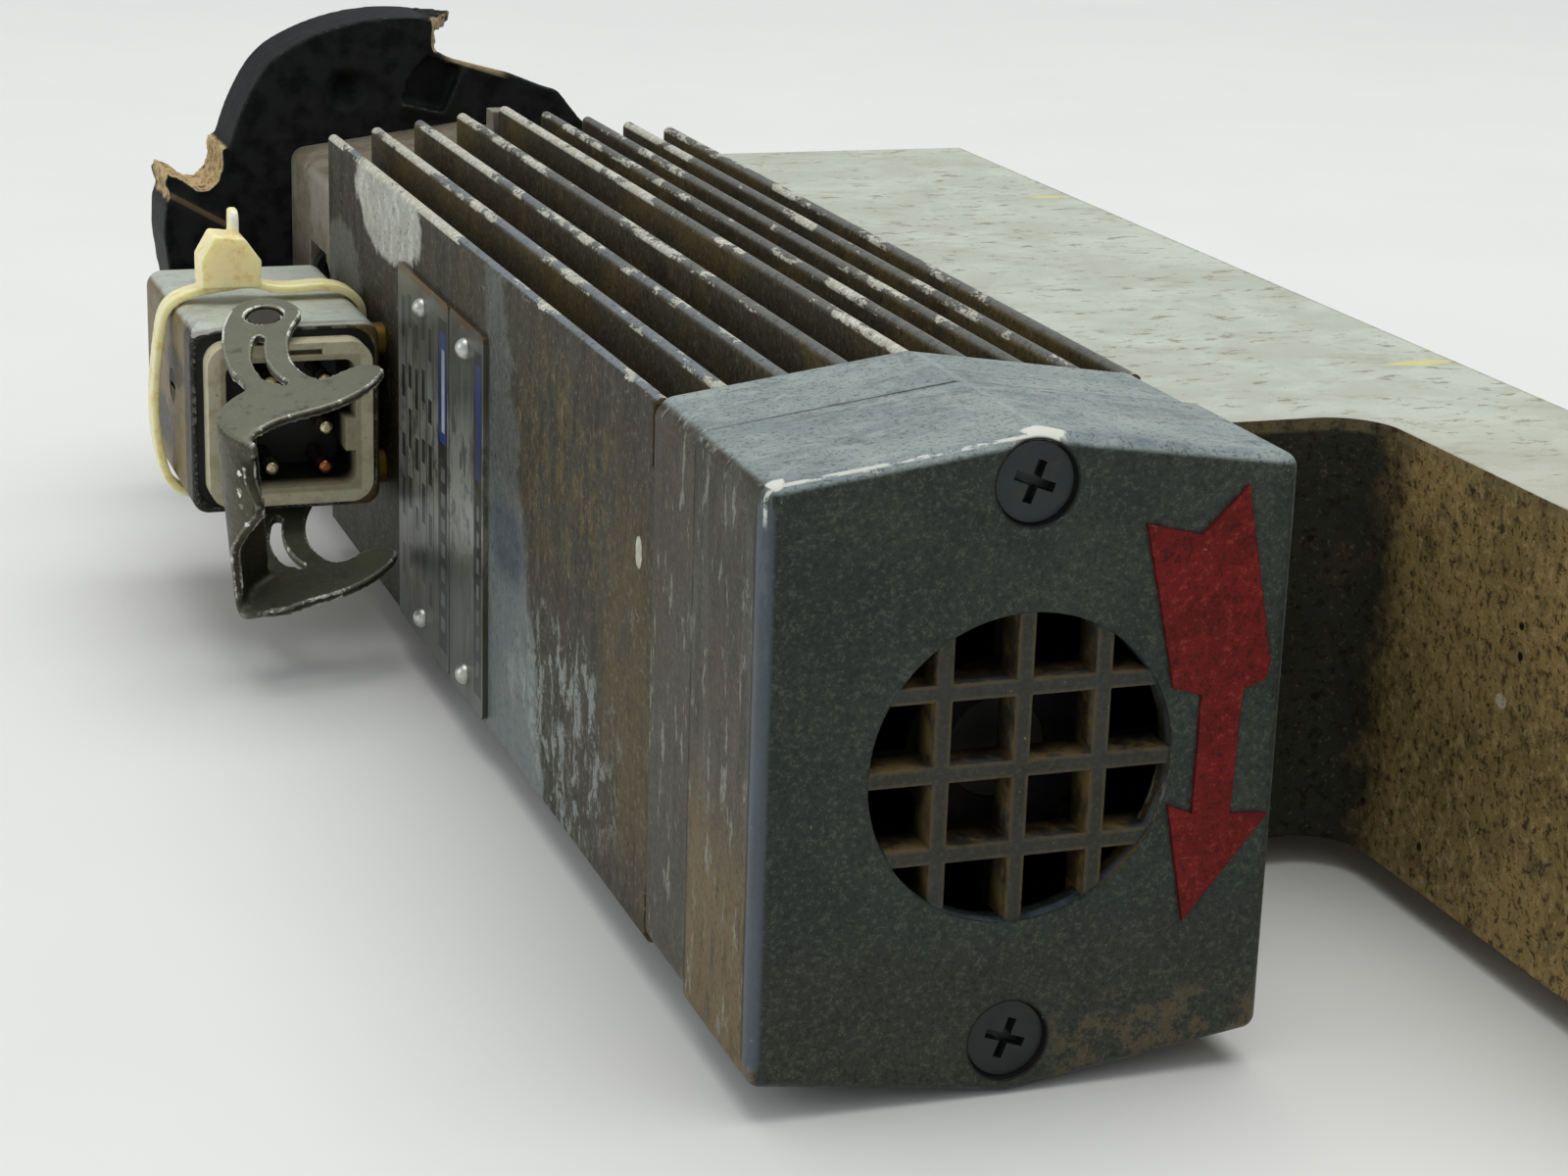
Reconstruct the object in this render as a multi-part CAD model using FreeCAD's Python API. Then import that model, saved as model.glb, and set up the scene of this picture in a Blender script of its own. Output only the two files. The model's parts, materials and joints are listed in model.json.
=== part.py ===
import FreeCAD, Part
import math
import os

os.makedirs("parts", exist_ok=True)

# Compact finned spindle motor on a cast mounting bracket. Millimetres, +Z up.
# The origin is on the shaft axis at the tool-end face; +Y points out of the tool end.

V = FreeCAD.Vector
X_AXIS = V(1, 0, 0)
Y_AXIS = V(0, 1, 0)
Z_AXIS = V(0, 0, 1)

# ---- driving dimensions: motor section ----
HALF_W = 31.0            # half width over the side walls
SIDE_H = 34.1            # half height at the side walls
RIDGE_H = 38.5           # half height at the ridge of the pitched top and bottom
CORNER_R = 2.6           # rounding of the long corners
GAP = 0.05               # clearance of fitted faces

# ---- driving dimensions: stations along the shaft ----
COVER_Y0 = -270.0
COVER_Y1 = -245.5
REAR_Y1 = -229.7
FINS_Y1 = -35.0
FLANGE_Y1 = 0.0
NOSE_Y1 = 20.0

# ---- fan cover and grille ----
COVER_HALF_W = 31.5      # the cover is a little larger than the housing behind it
COVER_SIDE_H = 34.7
COVER_RIDGE_H = 39.1
COVER_MID_X = 0.5        # and sits slightly off the shaft axis
COVER_MID_Z = -0.6
COVER_WALL = 3.0
COVER_FRONT = 3.5
COVER_R = 1.9
GRILLE_R = 18.25
BAR_PITCH = 9.5
BAR_T = 1.9
BAR_DEPTH = 5.0
COVER_SCREW_Z = 32.85
COVER_SCREW_R = 2.5
COVER_HEAD_R = 4.6
COVER_BOSS_R = 5.6

# ---- housing ----
CORE_H = 27.0
BORE_R = 26.2
FIN_COUNT = 9
FIN_PITCH = 2 * HALF_W / (FIN_COUNT - 1) * (HALF_W - 1.0) / HALF_W
FIN_T = 2.0
SLIT = 0.7
SHIELD_SCREW_X = 23.0
SHIELD_SCREW_Z = 23.0
M5_R = 2.5
M5_HEAD_R = 4.25
M5_HEAD_H = 5.0

# ---- front end shield ----
FLANGE_SIDE_H = 26.2
FLANGE_RIDGE_H = 30.4
FRONT_SCREW_X = 25.0
FRONT_SCREW_Z = 20.0
CAP_R = 25.0
CAP_DEPTH = 8.0
CAP_FRONT = -2.0
HOOD_SCREW_X = 27.6
HOOD_SCREW_Z = 8.0
SCALLOP_R = 4.9
SCALLOP_Y0 = -32.0
SCALLOP_Y1 = -17.0

# ---- shaft, rotor and bearings ----
NOSE_R = 8.0
NOSE_BASE = -1.0
COLLAR_R = 11.0
SHAFT_R = 10.0
FAN_SEAT_R = 6.0
SHAFT_Y0 = -262.0
REAR_SEAT = (-243.0, -232.0)
FRONT_SEAT = (-24.0, -12.0)
REAR_BRG = (7.5, 17.5, 2.98)     # bore radius, outer radius, ball radius
FRONT_BRG = (8.5, 20.0, 3.37)
BALL_COUNT = 8
BALL_PLAY = 0.04
STATOR_Y = (-185.0, -85.0)
STATOR_R = 26.0
STATOR_BORE = 14.6
ROTOR_R = 14.2
HEAD_LEN = 18.0
SLOT_COUNT = 18
FAN_Y = (-262.5, -248.5)
FAN_R = 25.0
FAN_HUB_R = 11.0
FAN_BLADES = 8

# ---- nameplates on the left side wall ----
PLATE_T = 0.8
PLATE_Z = (-33.0, 24.0)
LARGE_PLATE_Y = (-128.2, -94.0)
SMALL_PLATE_Y = (-149.5, -128.7)
RIVET_R = 1.6
RIVET_INSET = 4.0

# ---- plug connector at the left side ----
CON_X = -48.0
CON_Z = -2.5
CON_HALF = 15.0
CON_Y = (-85.5, -38.0)
CON_WALL = 3.0
CON_R = 2.6
SEAL_HALF = 14.2
COLLAR_HALF = 13.0
COLLAR_Y0 = -90.0
COLLAR_WALL = 2.8
COLLAR_CORNER = 3.5
CAVITY_DEPTH = 16.0
PIN_R = 1.25
PIN_TIP_Y = -85.0
PIN_GRID = ((-2.3, -8.4), (6.3, -8.6), (6.5, -2.1), (6.4, 5.7), (-2.3, 5.7), (-7.6, -1.6))
NIPPLE_R = 6.0
NIPPLE_Y = -55.5
NIPPLE_Z = -3.0
SPACER_R = 2.8
SPACER_Y = (-78.5, -44.0)
SPACER_Z = (-13.0, 8.0)
M3_R = 1.5
M3_HEAD_R = 2.6
M3_HEAD_H = 1.8
EARTH_Y = -66.0
EARTH_Z = -1.0

# ---- locking lever ----
LEVER_EYE = V(-51.2, -85.0, 13.6)
LEVER_RAKE = 15.0        # degrees that the hinge axis leans towards the cover
LEVER_LEAN = -0.115      # sideways part of the hinge axis
LEVER_SPAN = 33.0        # between the middles of the two arms
LEVER_T = 1.5
LEVER_PLAY = 0.35        # clearance of the arms over the connector housing
LEVER_SWEEP_R = 7.6      # the part of an arm near its eye turns inside this radius
EYE_R = 3.0
STUD_R = 2.5

# ---- cable tie ----
TIE_Y = -65.0
TIE_W = 4.6

# ---- dust hood ----
HOOD_T = 3.2
HOOD_DEPTH = 17.2
HOOD_HOLE_R = 27.5
HOOD_HUB_R = 38.4

# ---- bracket casting ----
BRK_TOP = 23.2
BRK_BOTTOM = -35.4
BRK_X1 = 100.0
ARM_X0 = 72.0
WEB_Y0 = -214.3
ARM_Y0 = -310.0
BRK_CORNER = 8.0
BRK_WALL = 8.0
BRK_ROOF = 9.0
RIB_Y = -107.0
M6_R = 3.0
M6_HEAD_R = 5.0
M6_HEAD_H = 6.0
BRK_SCREW_Y = (-175.0, -60.0)
BRK_SCREW_Z = (-18.0, 6.0)
BRK_SCREW_GRIP = 4.5     # thread length in the motor housing
DOWEL_R = 2.5
DOWEL_Y = (-195.0, -44.0)
ARM_HOLE_X = (79.0, 93.0)
ARM_HOLE_Y = -297.0
ARM_HOLE_R = 3.3


# ================= helpers =================

def block(x0, x1, y0, y1, z0, z1):
    return Part.makeBox(x1 - x0, y1 - y0, z1 - z0, V(x0, y0, z0))


def rod_y(x, z, radius, y0, y1):
    return Part.makeCylinder(radius, y1 - y0, V(x, y0, z), Y_AXIS)


def rod_x(y, z, radius, x0, x1):
    return Part.makeCylinder(radius, x1 - x0, V(x0, y, z), X_AXIS)


def ring_y(outer, inner, y0, y1):
    return rod_y(0, 0, outer, y0, y1).cut(rod_y(0, 0, inner, y0 - 1, y1 + 1))


def prism_y(points, y0, y1):
    wire = Part.makePolygon([V(x, y0, z) for x, z in points] + [V(points[0][0], y0, points[0][1])])
    return Part.Face(wire).extrude(V(0, y1 - y0, 0))


def gable(half_w, side_h, ridge_h, y0, y1):
    points = [(-half_w, -side_h), (0, -ridge_h), (half_w, -side_h),
              (half_w, side_h), (0, ridge_h), (-half_w, side_h)]
    return prism_y(points, y0, y1)


def long_edges(shape, half_w):
    """Edges along Y at the four side corners."""
    found = []
    for edge in shape.Edges:
        a, b = edge.Vertexes[0].Point, edge.Vertexes[-1].Point
        if abs(a.x - b.x) < 0.01 and abs(a.z - b.z) < 0.01 and abs(abs(a.x) - half_w) < 0.01:
            found.append(edge)
    return found


def edges_at_y(shape, y):
    return [e for e in shape.Edges if all(abs(v.Point.y - y) < 0.01 for v in e.Vertexes)]


def rounded_square(cx, cz, half, corner, y0, y1):
    solid = block(cx - half, cx + half, y0, y1, cz - half, cz + half)
    return solid.makeFillet(corner, [e for e in solid.Edges if along_y(e)])


def along_y(edge):
    a, b = edge.Vertexes[0].Point, edge.Vertexes[-1].Point
    return abs(a.x - b.x) < 0.01 and abs(a.z - b.z) < 0.01


def along_x(edge):
    a, b = edge.Vertexes[0].Point, edge.Vertexes[-1].Point
    return abs(a.y - b.y) < 0.01 and abs(a.z - b.z) < 0.01


def polar(radius, count, start=0.0):
    for i in range(count):
        angle = math.radians(start + 360.0 * i / count)
        yield radius * math.cos(angle), radius * math.sin(angle)


def signs():
    return ((-1, -1), (1, -1), (1, 1), (-1, 1))


def drill_y(shape, places, radius, y0, y1):
    for x, z in places:
        shape = shape.cut(rod_y(x, z, radius, y0, y1))
    return shape


def socket_screw_y(x, z, radius, head_r, head_h, y_head, y_tip):
    """Socket-head screw along Y; its head stands beyond y_head, away from the tip."""
    out = 1.0 if y_head > y_tip else -1.0
    far = y_head + out * head_h
    body = rod_y(x, z, radius, min(y_head, y_tip), max(y_head, y_tip))
    head = rod_y(x, z, head_r, min(y_head, far), max(y_head, far))
    hexagon = [(x + a, z + b) for a, b in polar(head_r * 0.52, 6)]
    key = prism_y(hexagon, min(far, far - out * head_h * 0.55), max(far, far - out * head_h * 0.55))
    return body.fuse(head).cut(key).removeSplitter()


def save(name, shapes):
    shape = shapes[0] if len(shapes) == 1 else Part.makeCompound(shapes)
    shape.exportStep("parts/" + name + ".step")
    print(name, "solids", len(shape.Solids), "valid", shape.isValid(), "volume", round(shape.Volume, 1))


# ================= fan cover =================

def cover_screw_places():
    return ((0.0, COVER_SCREW_Z), (0.0, -COVER_SCREW_Z))


def fan_cover():
    shell = gable(COVER_HALF_W, COVER_SIDE_H, COVER_RIDGE_H, COVER_Y0, COVER_Y1)
    shell = shell.makeFillet(COVER_R, long_edges(shell, COVER_HALF_W) + edges_at_y(shell, COVER_Y0))
    shell.translate(V(COVER_MID_X, 0, COVER_MID_Z))
    hollow = gable(HALF_W - COVER_WALL, SIDE_H - COVER_WALL, RIDGE_H - COVER_WALL,
                   COVER_Y0 + COVER_FRONT, COVER_Y1 + 1)
    opened = shell.cut(hollow).cut(rod_y(0, 0, GRILLE_R, COVER_Y0 - 1, COVER_Y0 + 10))
    for x, z in cover_screw_places():
        boss = rod_y(x, z, COVER_BOSS_R, COVER_Y0 + 1, COVER_Y1).common(shell)
        opened = opened.fuse(boss)
        opened = opened.cut(rod_y(x, z, COVER_SCREW_R + 0.2, COVER_Y0 - 1, COVER_Y1 + 1))
        opened = opened.cut(rod_y(x, z, COVER_HEAD_R + 0.25, COVER_Y0 - 1, COVER_Y0 + 1.0))
        cone = Part.makeCone(COVER_HEAD_R + 0.1, COVER_SCREW_R + 0.2, 2.2, V(x, COVER_Y0 + 1.0, z), Y_AXIS)
        opened = opened.cut(cone)
    return opened.fuse(grille()).removeSplitter()


def grille():
    y0 = COVER_Y0 + 0.4
    bars = []
    for step in (-1, 0, 1):
        at = step * BAR_PITCH
        bars.append(block(at - BAR_T / 2, at + BAR_T / 2, y0, y0 + BAR_DEPTH, -GRILLE_R, GRILLE_R))
        bars.append(block(-GRILLE_R, GRILLE_R, y0, y0 + BAR_DEPTH, at - BAR_T / 2, at + BAR_T / 2))
    lattice = bars[0].multiFuse(bars[1:])
    return lattice.common(rod_y(0, 0, GRILLE_R + 1.2, y0, y0 + BAR_DEPTH))


def cover_screws():
    screws = []
    for x, z in cover_screw_places():
        head_y = COVER_Y0 + 0.8
        cone = Part.makeCone(COVER_HEAD_R, COVER_SCREW_R, 2.2, V(x, head_y + 0.2, z), Y_AXIS)
        rim = rod_y(x, z, COVER_HEAD_R, head_y, head_y + 0.2)
        shank = rod_y(x, z, COVER_SCREW_R, head_y + 2.0, COVER_Y1 + 11.0)
        screw = cone.fuse(rim).fuse(shank)
        for spin in (0, 90):
            slot = block(x - 0.55, x + 0.55, head_y - 1, head_y + 1.7, z - 2.5, z + 2.5)
            slot.rotate(V(x, head_y, z), Y_AXIS, spin + 20)
            screw = screw.cut(slot)
        screws.append(screw.removeSplitter())
    return screws


def rotation_arrow():
    """Raised arrow to the right of the grille, head down."""
    outline = [(13.2, 27.6), (20.0, 25.9), (25.4, 31.3), (27.6, 20.3), (29.6, 10.6), (29.2, 8.4),
               (26.4, 7.4), (25.9, -7.5), (30.7, -7.9), (20.8, -20.2), (18.0, -5.8), (21.1, -7.1),
               (21.3, 7.1), (17.7, 8.2), (15.6, 17.7)]
    return prism_y(outline, COVER_Y0 - 0.5, COVER_Y0)


# ================= rear end shield =================

def shield_screw_places():
    return [(sx * SHIELD_SCREW_X, sz * SHIELD_SCREW_Z) for sx, sz in signs()]


def fin_gap_centres():
    for i in range(FIN_COUNT - 1):
        yield (i - (FIN_COUNT - 2) / 2) * FIN_PITCH


def rear_end_shield():
    outer = REAR_BRG[1]
    shell = gable(HALF_W, SIDE_H, RIDGE_H, COVER_Y1, REAR_Y1)
    shell = shell.makeFillet(CORNER_R, long_edges(shell, HALF_W))
    front_hollow = gable(HALF_W - 3.2, SIDE_H - 3.2, RIDGE_H - 3.2, COVER_Y1 - 1, COVER_Y1 + 3)
    shell = shell.cut(front_hollow.cut(rod_y(0, 0, outer + 4, COVER_Y1 - 1, COVER_Y1 + 3)))
    shell = shell.cut(rod_y(0, 0, BORE_R, REAR_Y1 - 2, REAR_Y1 + 1).cut(
        rod_y(0, 0, outer + 4, REAR_Y1 - 2, REAR_Y1 + 1)))
    shell = shell.cut(rod_y(0, 0, outer, REAR_SEAT[0] - 1.0, REAR_Y1 + 1))
    shell = shell.cut(rod_y(0, 0, outer - 3.5, COVER_Y1 - 1, REAR_SEAT[0]))
    for x in fin_gap_centres():
        for side in (-1, 1):
            mid = side * (CORE_H + 3.4)
            shell = shell.cut(block(x - 2.6, x + 2.6, COVER_Y1 - 1, REAR_Y1 + 1, mid - 2.2, mid + 2.2))
    for x, z in cover_screw_places():
        shell = shell.fuse(rod_y(x, z, COVER_BOSS_R, COVER_Y1, REAR_Y1).common(
            gable(HALF_W, SIDE_H, RIDGE_H, COVER_Y1, REAR_Y1)))
        shell = shell.cut(rod_y(x, z, COVER_SCREW_R, COVER_Y1 - 1, COVER_Y1 + 11.0))
    places = shield_screw_places()
    shell = drill_y(shell, places, M5_R + GAP, COVER_Y1 - 1, REAR_Y1 + 1)
    return shell.removeSplitter()


def rear_shield_screws():
    return [socket_screw_y(x, z, M5_R, M5_HEAD_R, M5_HEAD_H, COVER_Y1 + 3, REAR_Y1 + 12)
            for x, z in shield_screw_places()]


# ================= finned housing =================

def fin_top(x):
    return RIDGE_H - (RIDGE_H - SIDE_H) * abs(x) / HALF_W


def fin(x, side):
    """One cooling fin with a half-round tip, standing on the core block."""
    tip = fin_top(x) - FIN_T / 2
    root = CORE_H - 1.0
    web = block(x - FIN_T / 2, x + FIN_T / 2, REAR_Y1, FINS_Y1, root, tip)
    edge = rod_y(x, tip, FIN_T / 2, REAR_Y1, FINS_Y1)
    whole = web.fuse(edge)
    if side < 0:
        whole = whole.mirror(V(0, 0, 0), Z_AXIS)
    return whole


def side_scallops():
    cuts = []
    for sx in (-1, 1):
        for sz in (-1, 1):
            trough = rod_y(sx * HOOD_SCREW_X, sz * HOOD_SCREW_Z, SCALLOP_R, SCALLOP_Y0, SCALLOP_Y1)
            ball = Part.makeSphere(SCALLOP_R, V(sx * HOOD_SCREW_X, SCALLOP_Y0, sz * HOOD_SCREW_Z))
            cuts.append(trough.fuse(ball))
            side = block(0, 8, SCALLOP_Y0, SCALLOP_Y1, sz * HOOD_SCREW_Z - SCALLOP_R,
                         sz * HOOD_SCREW_Z + SCALLOP_R)
            side.translate(V(HOOD_SCREW_X if sx > 0 else -HOOD_SCREW_X - 8, 0, 0))
            cuts.append(side)
    return cuts


def motor_housing():
    core = block(-HALF_W, HALF_W, REAR_Y1, FINS_Y1, -CORE_H, CORE_H)
    fins = []
    for i in range(FIN_COUNT):
        x = (i - (FIN_COUNT - 1) / 2) * FIN_PITCH
        fins.append(fin(x, 1))
        fins.append(fin(x, -1))
    body = core.multiFuse(fins)
    body = body.cut(rod_y(0, 0, BORE_R, REAR_Y1 - 1, FINS_Y1 + 1))
    places = shield_screw_places()
    body = drill_y(body, places, M5_R, REAR_Y1 - 1, REAR_Y1 + 12)
    front = [(sx * FRONT_SCREW_X, sz * FRONT_SCREW_Z) for sx, sz in signs()]
    body = drill_y(body, front, M5_R, FINS_Y1 - 10, FINS_Y1 + 1)
    for y in BRK_SCREW_Y:
        for z in BRK_SCREW_Z:
            body = body.cut(rod_x(y, z, M6_R, HALF_W - BRK_SCREW_GRIP, HALF_W + 1))
    for y in DOWEL_Y:
        body = body.cut(rod_x(y, 0, DOWEL_R, HALF_W - 4, HALF_W + 1))
    for y in SPACER_Y:
        for z in SPACER_Z:
            body = body.cut(rod_x(y, z, M3_R, -HALF_W - 1, -HALF_W + 5))
    body = body.cut(rod_x(NIPPLE_Y, NIPPLE_Z, NIPPLE_R, -HALF_W - 1, -HALF_W + 3.0))
    body = body.cut(rod_x(NIPPLE_Y, NIPPLE_Z, NIPPLE_R - 2.0, -HALF_W - 1, 0))
    for sx in (-1, 1):
        for z0, z1 in ((26.0, 33.5), (-33.5, -27.5)):
            x0 = sx * HALF_W - 2.2
            body = body.cut(block(x0, x0 + 4.4, REAR_Y1 - 1, REAR_Y1 + SLIT, z0, z1))
    for cut in side_scallops():
        body = body.cut(cut)
    return body.removeSplitter()


# ================= front end shield =================

def front_end_shield():
    outer = FRONT_BRG[1]
    body = gable(HALF_W, FLANGE_SIDE_H, FLANGE_RIDGE_H, FINS_Y1, FLANGE_Y1)
    body = body.makeFillet(CORNER_R, long_edges(body, HALF_W))
    post = block(-2.0, 2.0, FINS_Y1, FINS_Y1 + 5.0, FLANGE_RIDGE_H - 4, RIDGE_H - 1.0)
    body = body.fuse(post).fuse(post.mirror(V(0, 0, 0), Z_AXIS))
    body = body.cut(rod_y(0, 0, BORE_R, FINS_Y1 - 1, FINS_Y1 + 7))
    body = body.cut(rod_y(0, 0, outer - 3.5, FINS_Y1, FRONT_SEAT[0]))
    body = body.cut(rod_y(0, 0, outer, FRONT_SEAT[0], FLANGE_Y1 + 1))
    body = body.cut(rod_y(0, 0, CAP_R + 0.1, -CAP_DEPTH, FLANGE_Y1 + 1))
    for sx, sz in signs():
        x, z = sx * FRONT_SCREW_X, sz * FRONT_SCREW_Z
        body = body.cut(rod_y(x, z, M5_R + GAP, FINS_Y1 - 1, FLANGE_Y1 + 1))
        body = body.cut(rod_y(x, z, M5_HEAD_R + 0.2, -M5_HEAD_H - 0.6, FLANGE_Y1 + 1))
        body = body.cut(rod_y(sx * HOOD_SCREW_X, sz * HOOD_SCREW_Z, 1.6, SCALLOP_Y1 - 1, FLANGE_Y1 + 1))
    body = drill_y(body, cap_screw_places(), M3_R, -CAP_DEPTH - 8, -CAP_DEPTH)
    for cut in side_scallops():
        body = body.cut(cut)
    return body.removeSplitter()


def front_shield_screws():
    return [socket_screw_y(sx * FRONT_SCREW_X, sz * FRONT_SCREW_Z, M5_R, M5_HEAD_R, M5_HEAD_H,
                           -M5_HEAD_H - 0.6, FINS_Y1 - 10) for sx, sz in signs()]


def cap_screw_places():
    return list(polar(22.4, 4, 45))


def bearing_cap():
    disc = ring_y(CAP_R, COLLAR_R + 0.4, -CAP_DEPTH, CAP_FRONT)
    spigot = ring_y(FRONT_BRG[1] - GAP, FRONT_BRG[1] - 3.5, FRONT_SEAT[1], -CAP_DEPTH)
    cap = disc.fuse(spigot)
    cap = cap.cut(rod_y(0, 0, 13.4, -7.0, -4.0))
    cap = drill_y(cap, cap_screw_places(), M3_R + GAP, -CAP_DEPTH - 1, CAP_FRONT + 1)
    cap = drill_y(cap, cap_screw_places(), 2.7, CAP_FRONT - 3.2, CAP_FRONT + 1)
    return cap.removeSplitter()


def bearing_cap_screws():
    return [socket_screw_y(x, z, M3_R, 2.6, 3.0, CAP_FRONT - 3.2, -CAP_DEPTH - 8)
            for x, z in cap_screw_places()]


def shaft_seal():
    return ring_y(13.3, COLLAR_R + 0.06, -6.9, -4.1)


# ================= bearings =================

def bearing(seat, sizes):
    """Deep-groove ball bearing: outer ring, inner ring and balls."""
    bore_r, outer_r, ball_r = sizes
    mid = (seat[0] + seat[1]) / 2
    pitch = (bore_r + outer_r) / 2
    land = (outer_r - bore_r) * 0.26
    groove = Part.makeTorus(pitch, ball_r + BALL_PLAY, V(0, mid, 0), Y_AXIS)
    outer = ring_y(outer_r, outer_r - land, seat[0], seat[1]).cut(groove)
    inner = ring_y(bore_r + land, bore_r, seat[0], seat[1]).cut(groove)
    balls = [Part.makeSphere(ball_r, V(x, mid, z)) for x, z in polar(pitch, BALL_COUNT, 22.5)]
    return outer, inner, balls


def bearing_preload_washer():
    return ring_y(REAR_BRG[1] - 0.3, REAR_BRG[1] - 3.0, REAR_SEAT[0] - 1.0, REAR_SEAT[0])


# ================= stator and rotor =================

def stator_core():
    core = ring_y(STATOR_R, STATOR_BORE, STATOR_Y[0], STATOR_Y[1])
    for i in range(SLOT_COUNT):
        slot = block(STATOR_BORE + 0.9, 22.0, STATOR_Y[0] - 1, STATOR_Y[1] + 1, -1.3, 1.3)
        mouth = block(STATOR_BORE - 1, STATOR_BORE + 1, STATOR_Y[0] - 1, STATOR_Y[1] + 1, -0.6, 0.6)
        for cut in (slot, mouth):
            cut.rotate(V(0, 0, 0), Y_AXIS, 360.0 * i / SLOT_COUNT)
            core = core.cut(cut)
    return core


def winding_heads():
    heads = []
    for y0, y1 in ((STATOR_Y[0] - HEAD_LEN, STATOR_Y[0]), (STATOR_Y[1], STATOR_Y[1] + HEAD_LEN)):
        head = ring_y(25.0, 15.8, y0, y1)
        free = y0 if y0 < STATOR_Y[0] else y1
        rims = edges_at_y(head, free)
        heads.append(head.makeFillet(4.0, rims))
    return heads


def rotor_core():
    return ring_y(ROTOR_R, SHAFT_R, STATOR_Y[0], STATOR_Y[1])


def rotor_end_rings():
    rings = []
    for y0, y1 in ((STATOR_Y[0] - 6, STATOR_Y[0]), (STATOR_Y[1], STATOR_Y[1] + 6)):
        rings.append(ring_y(ROTOR_R, SHAFT_R, y0, y1))
    return rings


def spindle_shaft():
    steps = ((FAN_SEAT_R, SHAFT_Y0, REAR_SEAT[0]), (REAR_BRG[0], REAR_SEAT[0], REAR_SEAT[1]),
             (SHAFT_R, REAR_SEAT[1], FRONT_SEAT[0]), (FRONT_BRG[0], FRONT_SEAT[0], FRONT_SEAT[1]),
             (COLLAR_R, FRONT_SEAT[1], NOSE_BASE), (NOSE_R, NOSE_BASE, NOSE_Y1))
    sections = [rod_y(0, 0, r, y0, y1) for r, y0, y1 in steps]
    shaft = sections[0].multiFuse(sections[1:]).removeSplitter()
    nose = [e for e in edges_at_y(shaft, NOSE_Y1)]
    shaft = shaft.makeChamfer(1.0, nose)
    shaft = shaft.cut(ring_y(FAN_SEAT_R + 1, FAN_SEAT_R - 0.6, FAN_Y[1] + 0.1, FAN_Y[1] + 1.2))
    shaft = shaft.cut(rod_y(0, 0, 2.5, NOSE_Y1 - 16, NOSE_Y1 + 1))
    return shaft


def cooling_fan():
    """Radial fan: back plate, hub and blades standing towards the grille."""
    back = ring_y(FAN_R, FAN_SEAT_R, FAN_Y[1] - 1.6, FAN_Y[1])
    hub = ring_y(FAN_HUB_R, FAN_SEAT_R, FAN_Y[0], FAN_Y[1])
    blades = []
    for i in range(FAN_BLADES):
        blade = block(FAN_HUB_R - 1.5, FAN_R - 0.3, FAN_Y[0], FAN_Y[1], -0.8, 0.8)
        blade.rotate(V(0, 0, 0), Y_AXIS, 360.0 * i / FAN_BLADES)
        blades.append(blade)
    return back.multiFuse([hub] + blades).removeSplitter()


def fan_circlip():
    ring = ring_y(FAN_SEAT_R + 2.0, FAN_SEAT_R - 0.55, FAN_Y[1] + 0.15, FAN_Y[1] + 1.1)
    return ring.cut(block(-1.5, 1.5, FAN_Y[1], FAN_Y[1] + 2, 0, 12))


# ================= nameplates =================

def nameplate(span):
    plate = block(-HALF_W - PLATE_T, -HALF_W, span[0], span[1], PLATE_Z[0], PLATE_Z[1])
    corners = [e for e in plate.Edges if abs(e.Vertexes[0].Point.y - e.Vertexes[-1].Point.y) < 0.01
               and abs(e.Vertexes[0].Point.z - e.Vertexes[-1].Point.z) < 0.01]
    return plate.makeFillet(1.5, corners)


def nameplate_rivets():
    rivets = []
    for span in (LARGE_PLATE_Y, SMALL_PLATE_Y):
        for z in (PLATE_Z[0] + RIVET_INSET, PLATE_Z[1] - RIVET_INSET):
            ball = Part.makeSphere(RIVET_R, V(-HALF_W - PLATE_T, (span[0] + span[1]) / 2, z))
            outside = block(-HALF_W - 5, -HALF_W - PLATE_T, span[0], span[1], z - 5, z + 5)
            rivets.append(ball.common(outside))
    return rivets


# ================= plug connector =================

def connector_screw_places():
    return [(y, z) for y in SPACER_Y for z in SPACER_Z]


def lever_axis():
    rake = math.radians(LEVER_RAKE)
    axis = V(LEVER_LEAN, -math.sin(rake), math.cos(rake))
    return axis.normalize()


def lower_eye():
    return LEVER_EYE - lever_axis() * LEVER_SPAN


def rod_lever(centre, radius, low, high):
    axis = lever_axis()
    return Part.makeCylinder(radius, high - low, centre + axis * low, axis)


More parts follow.
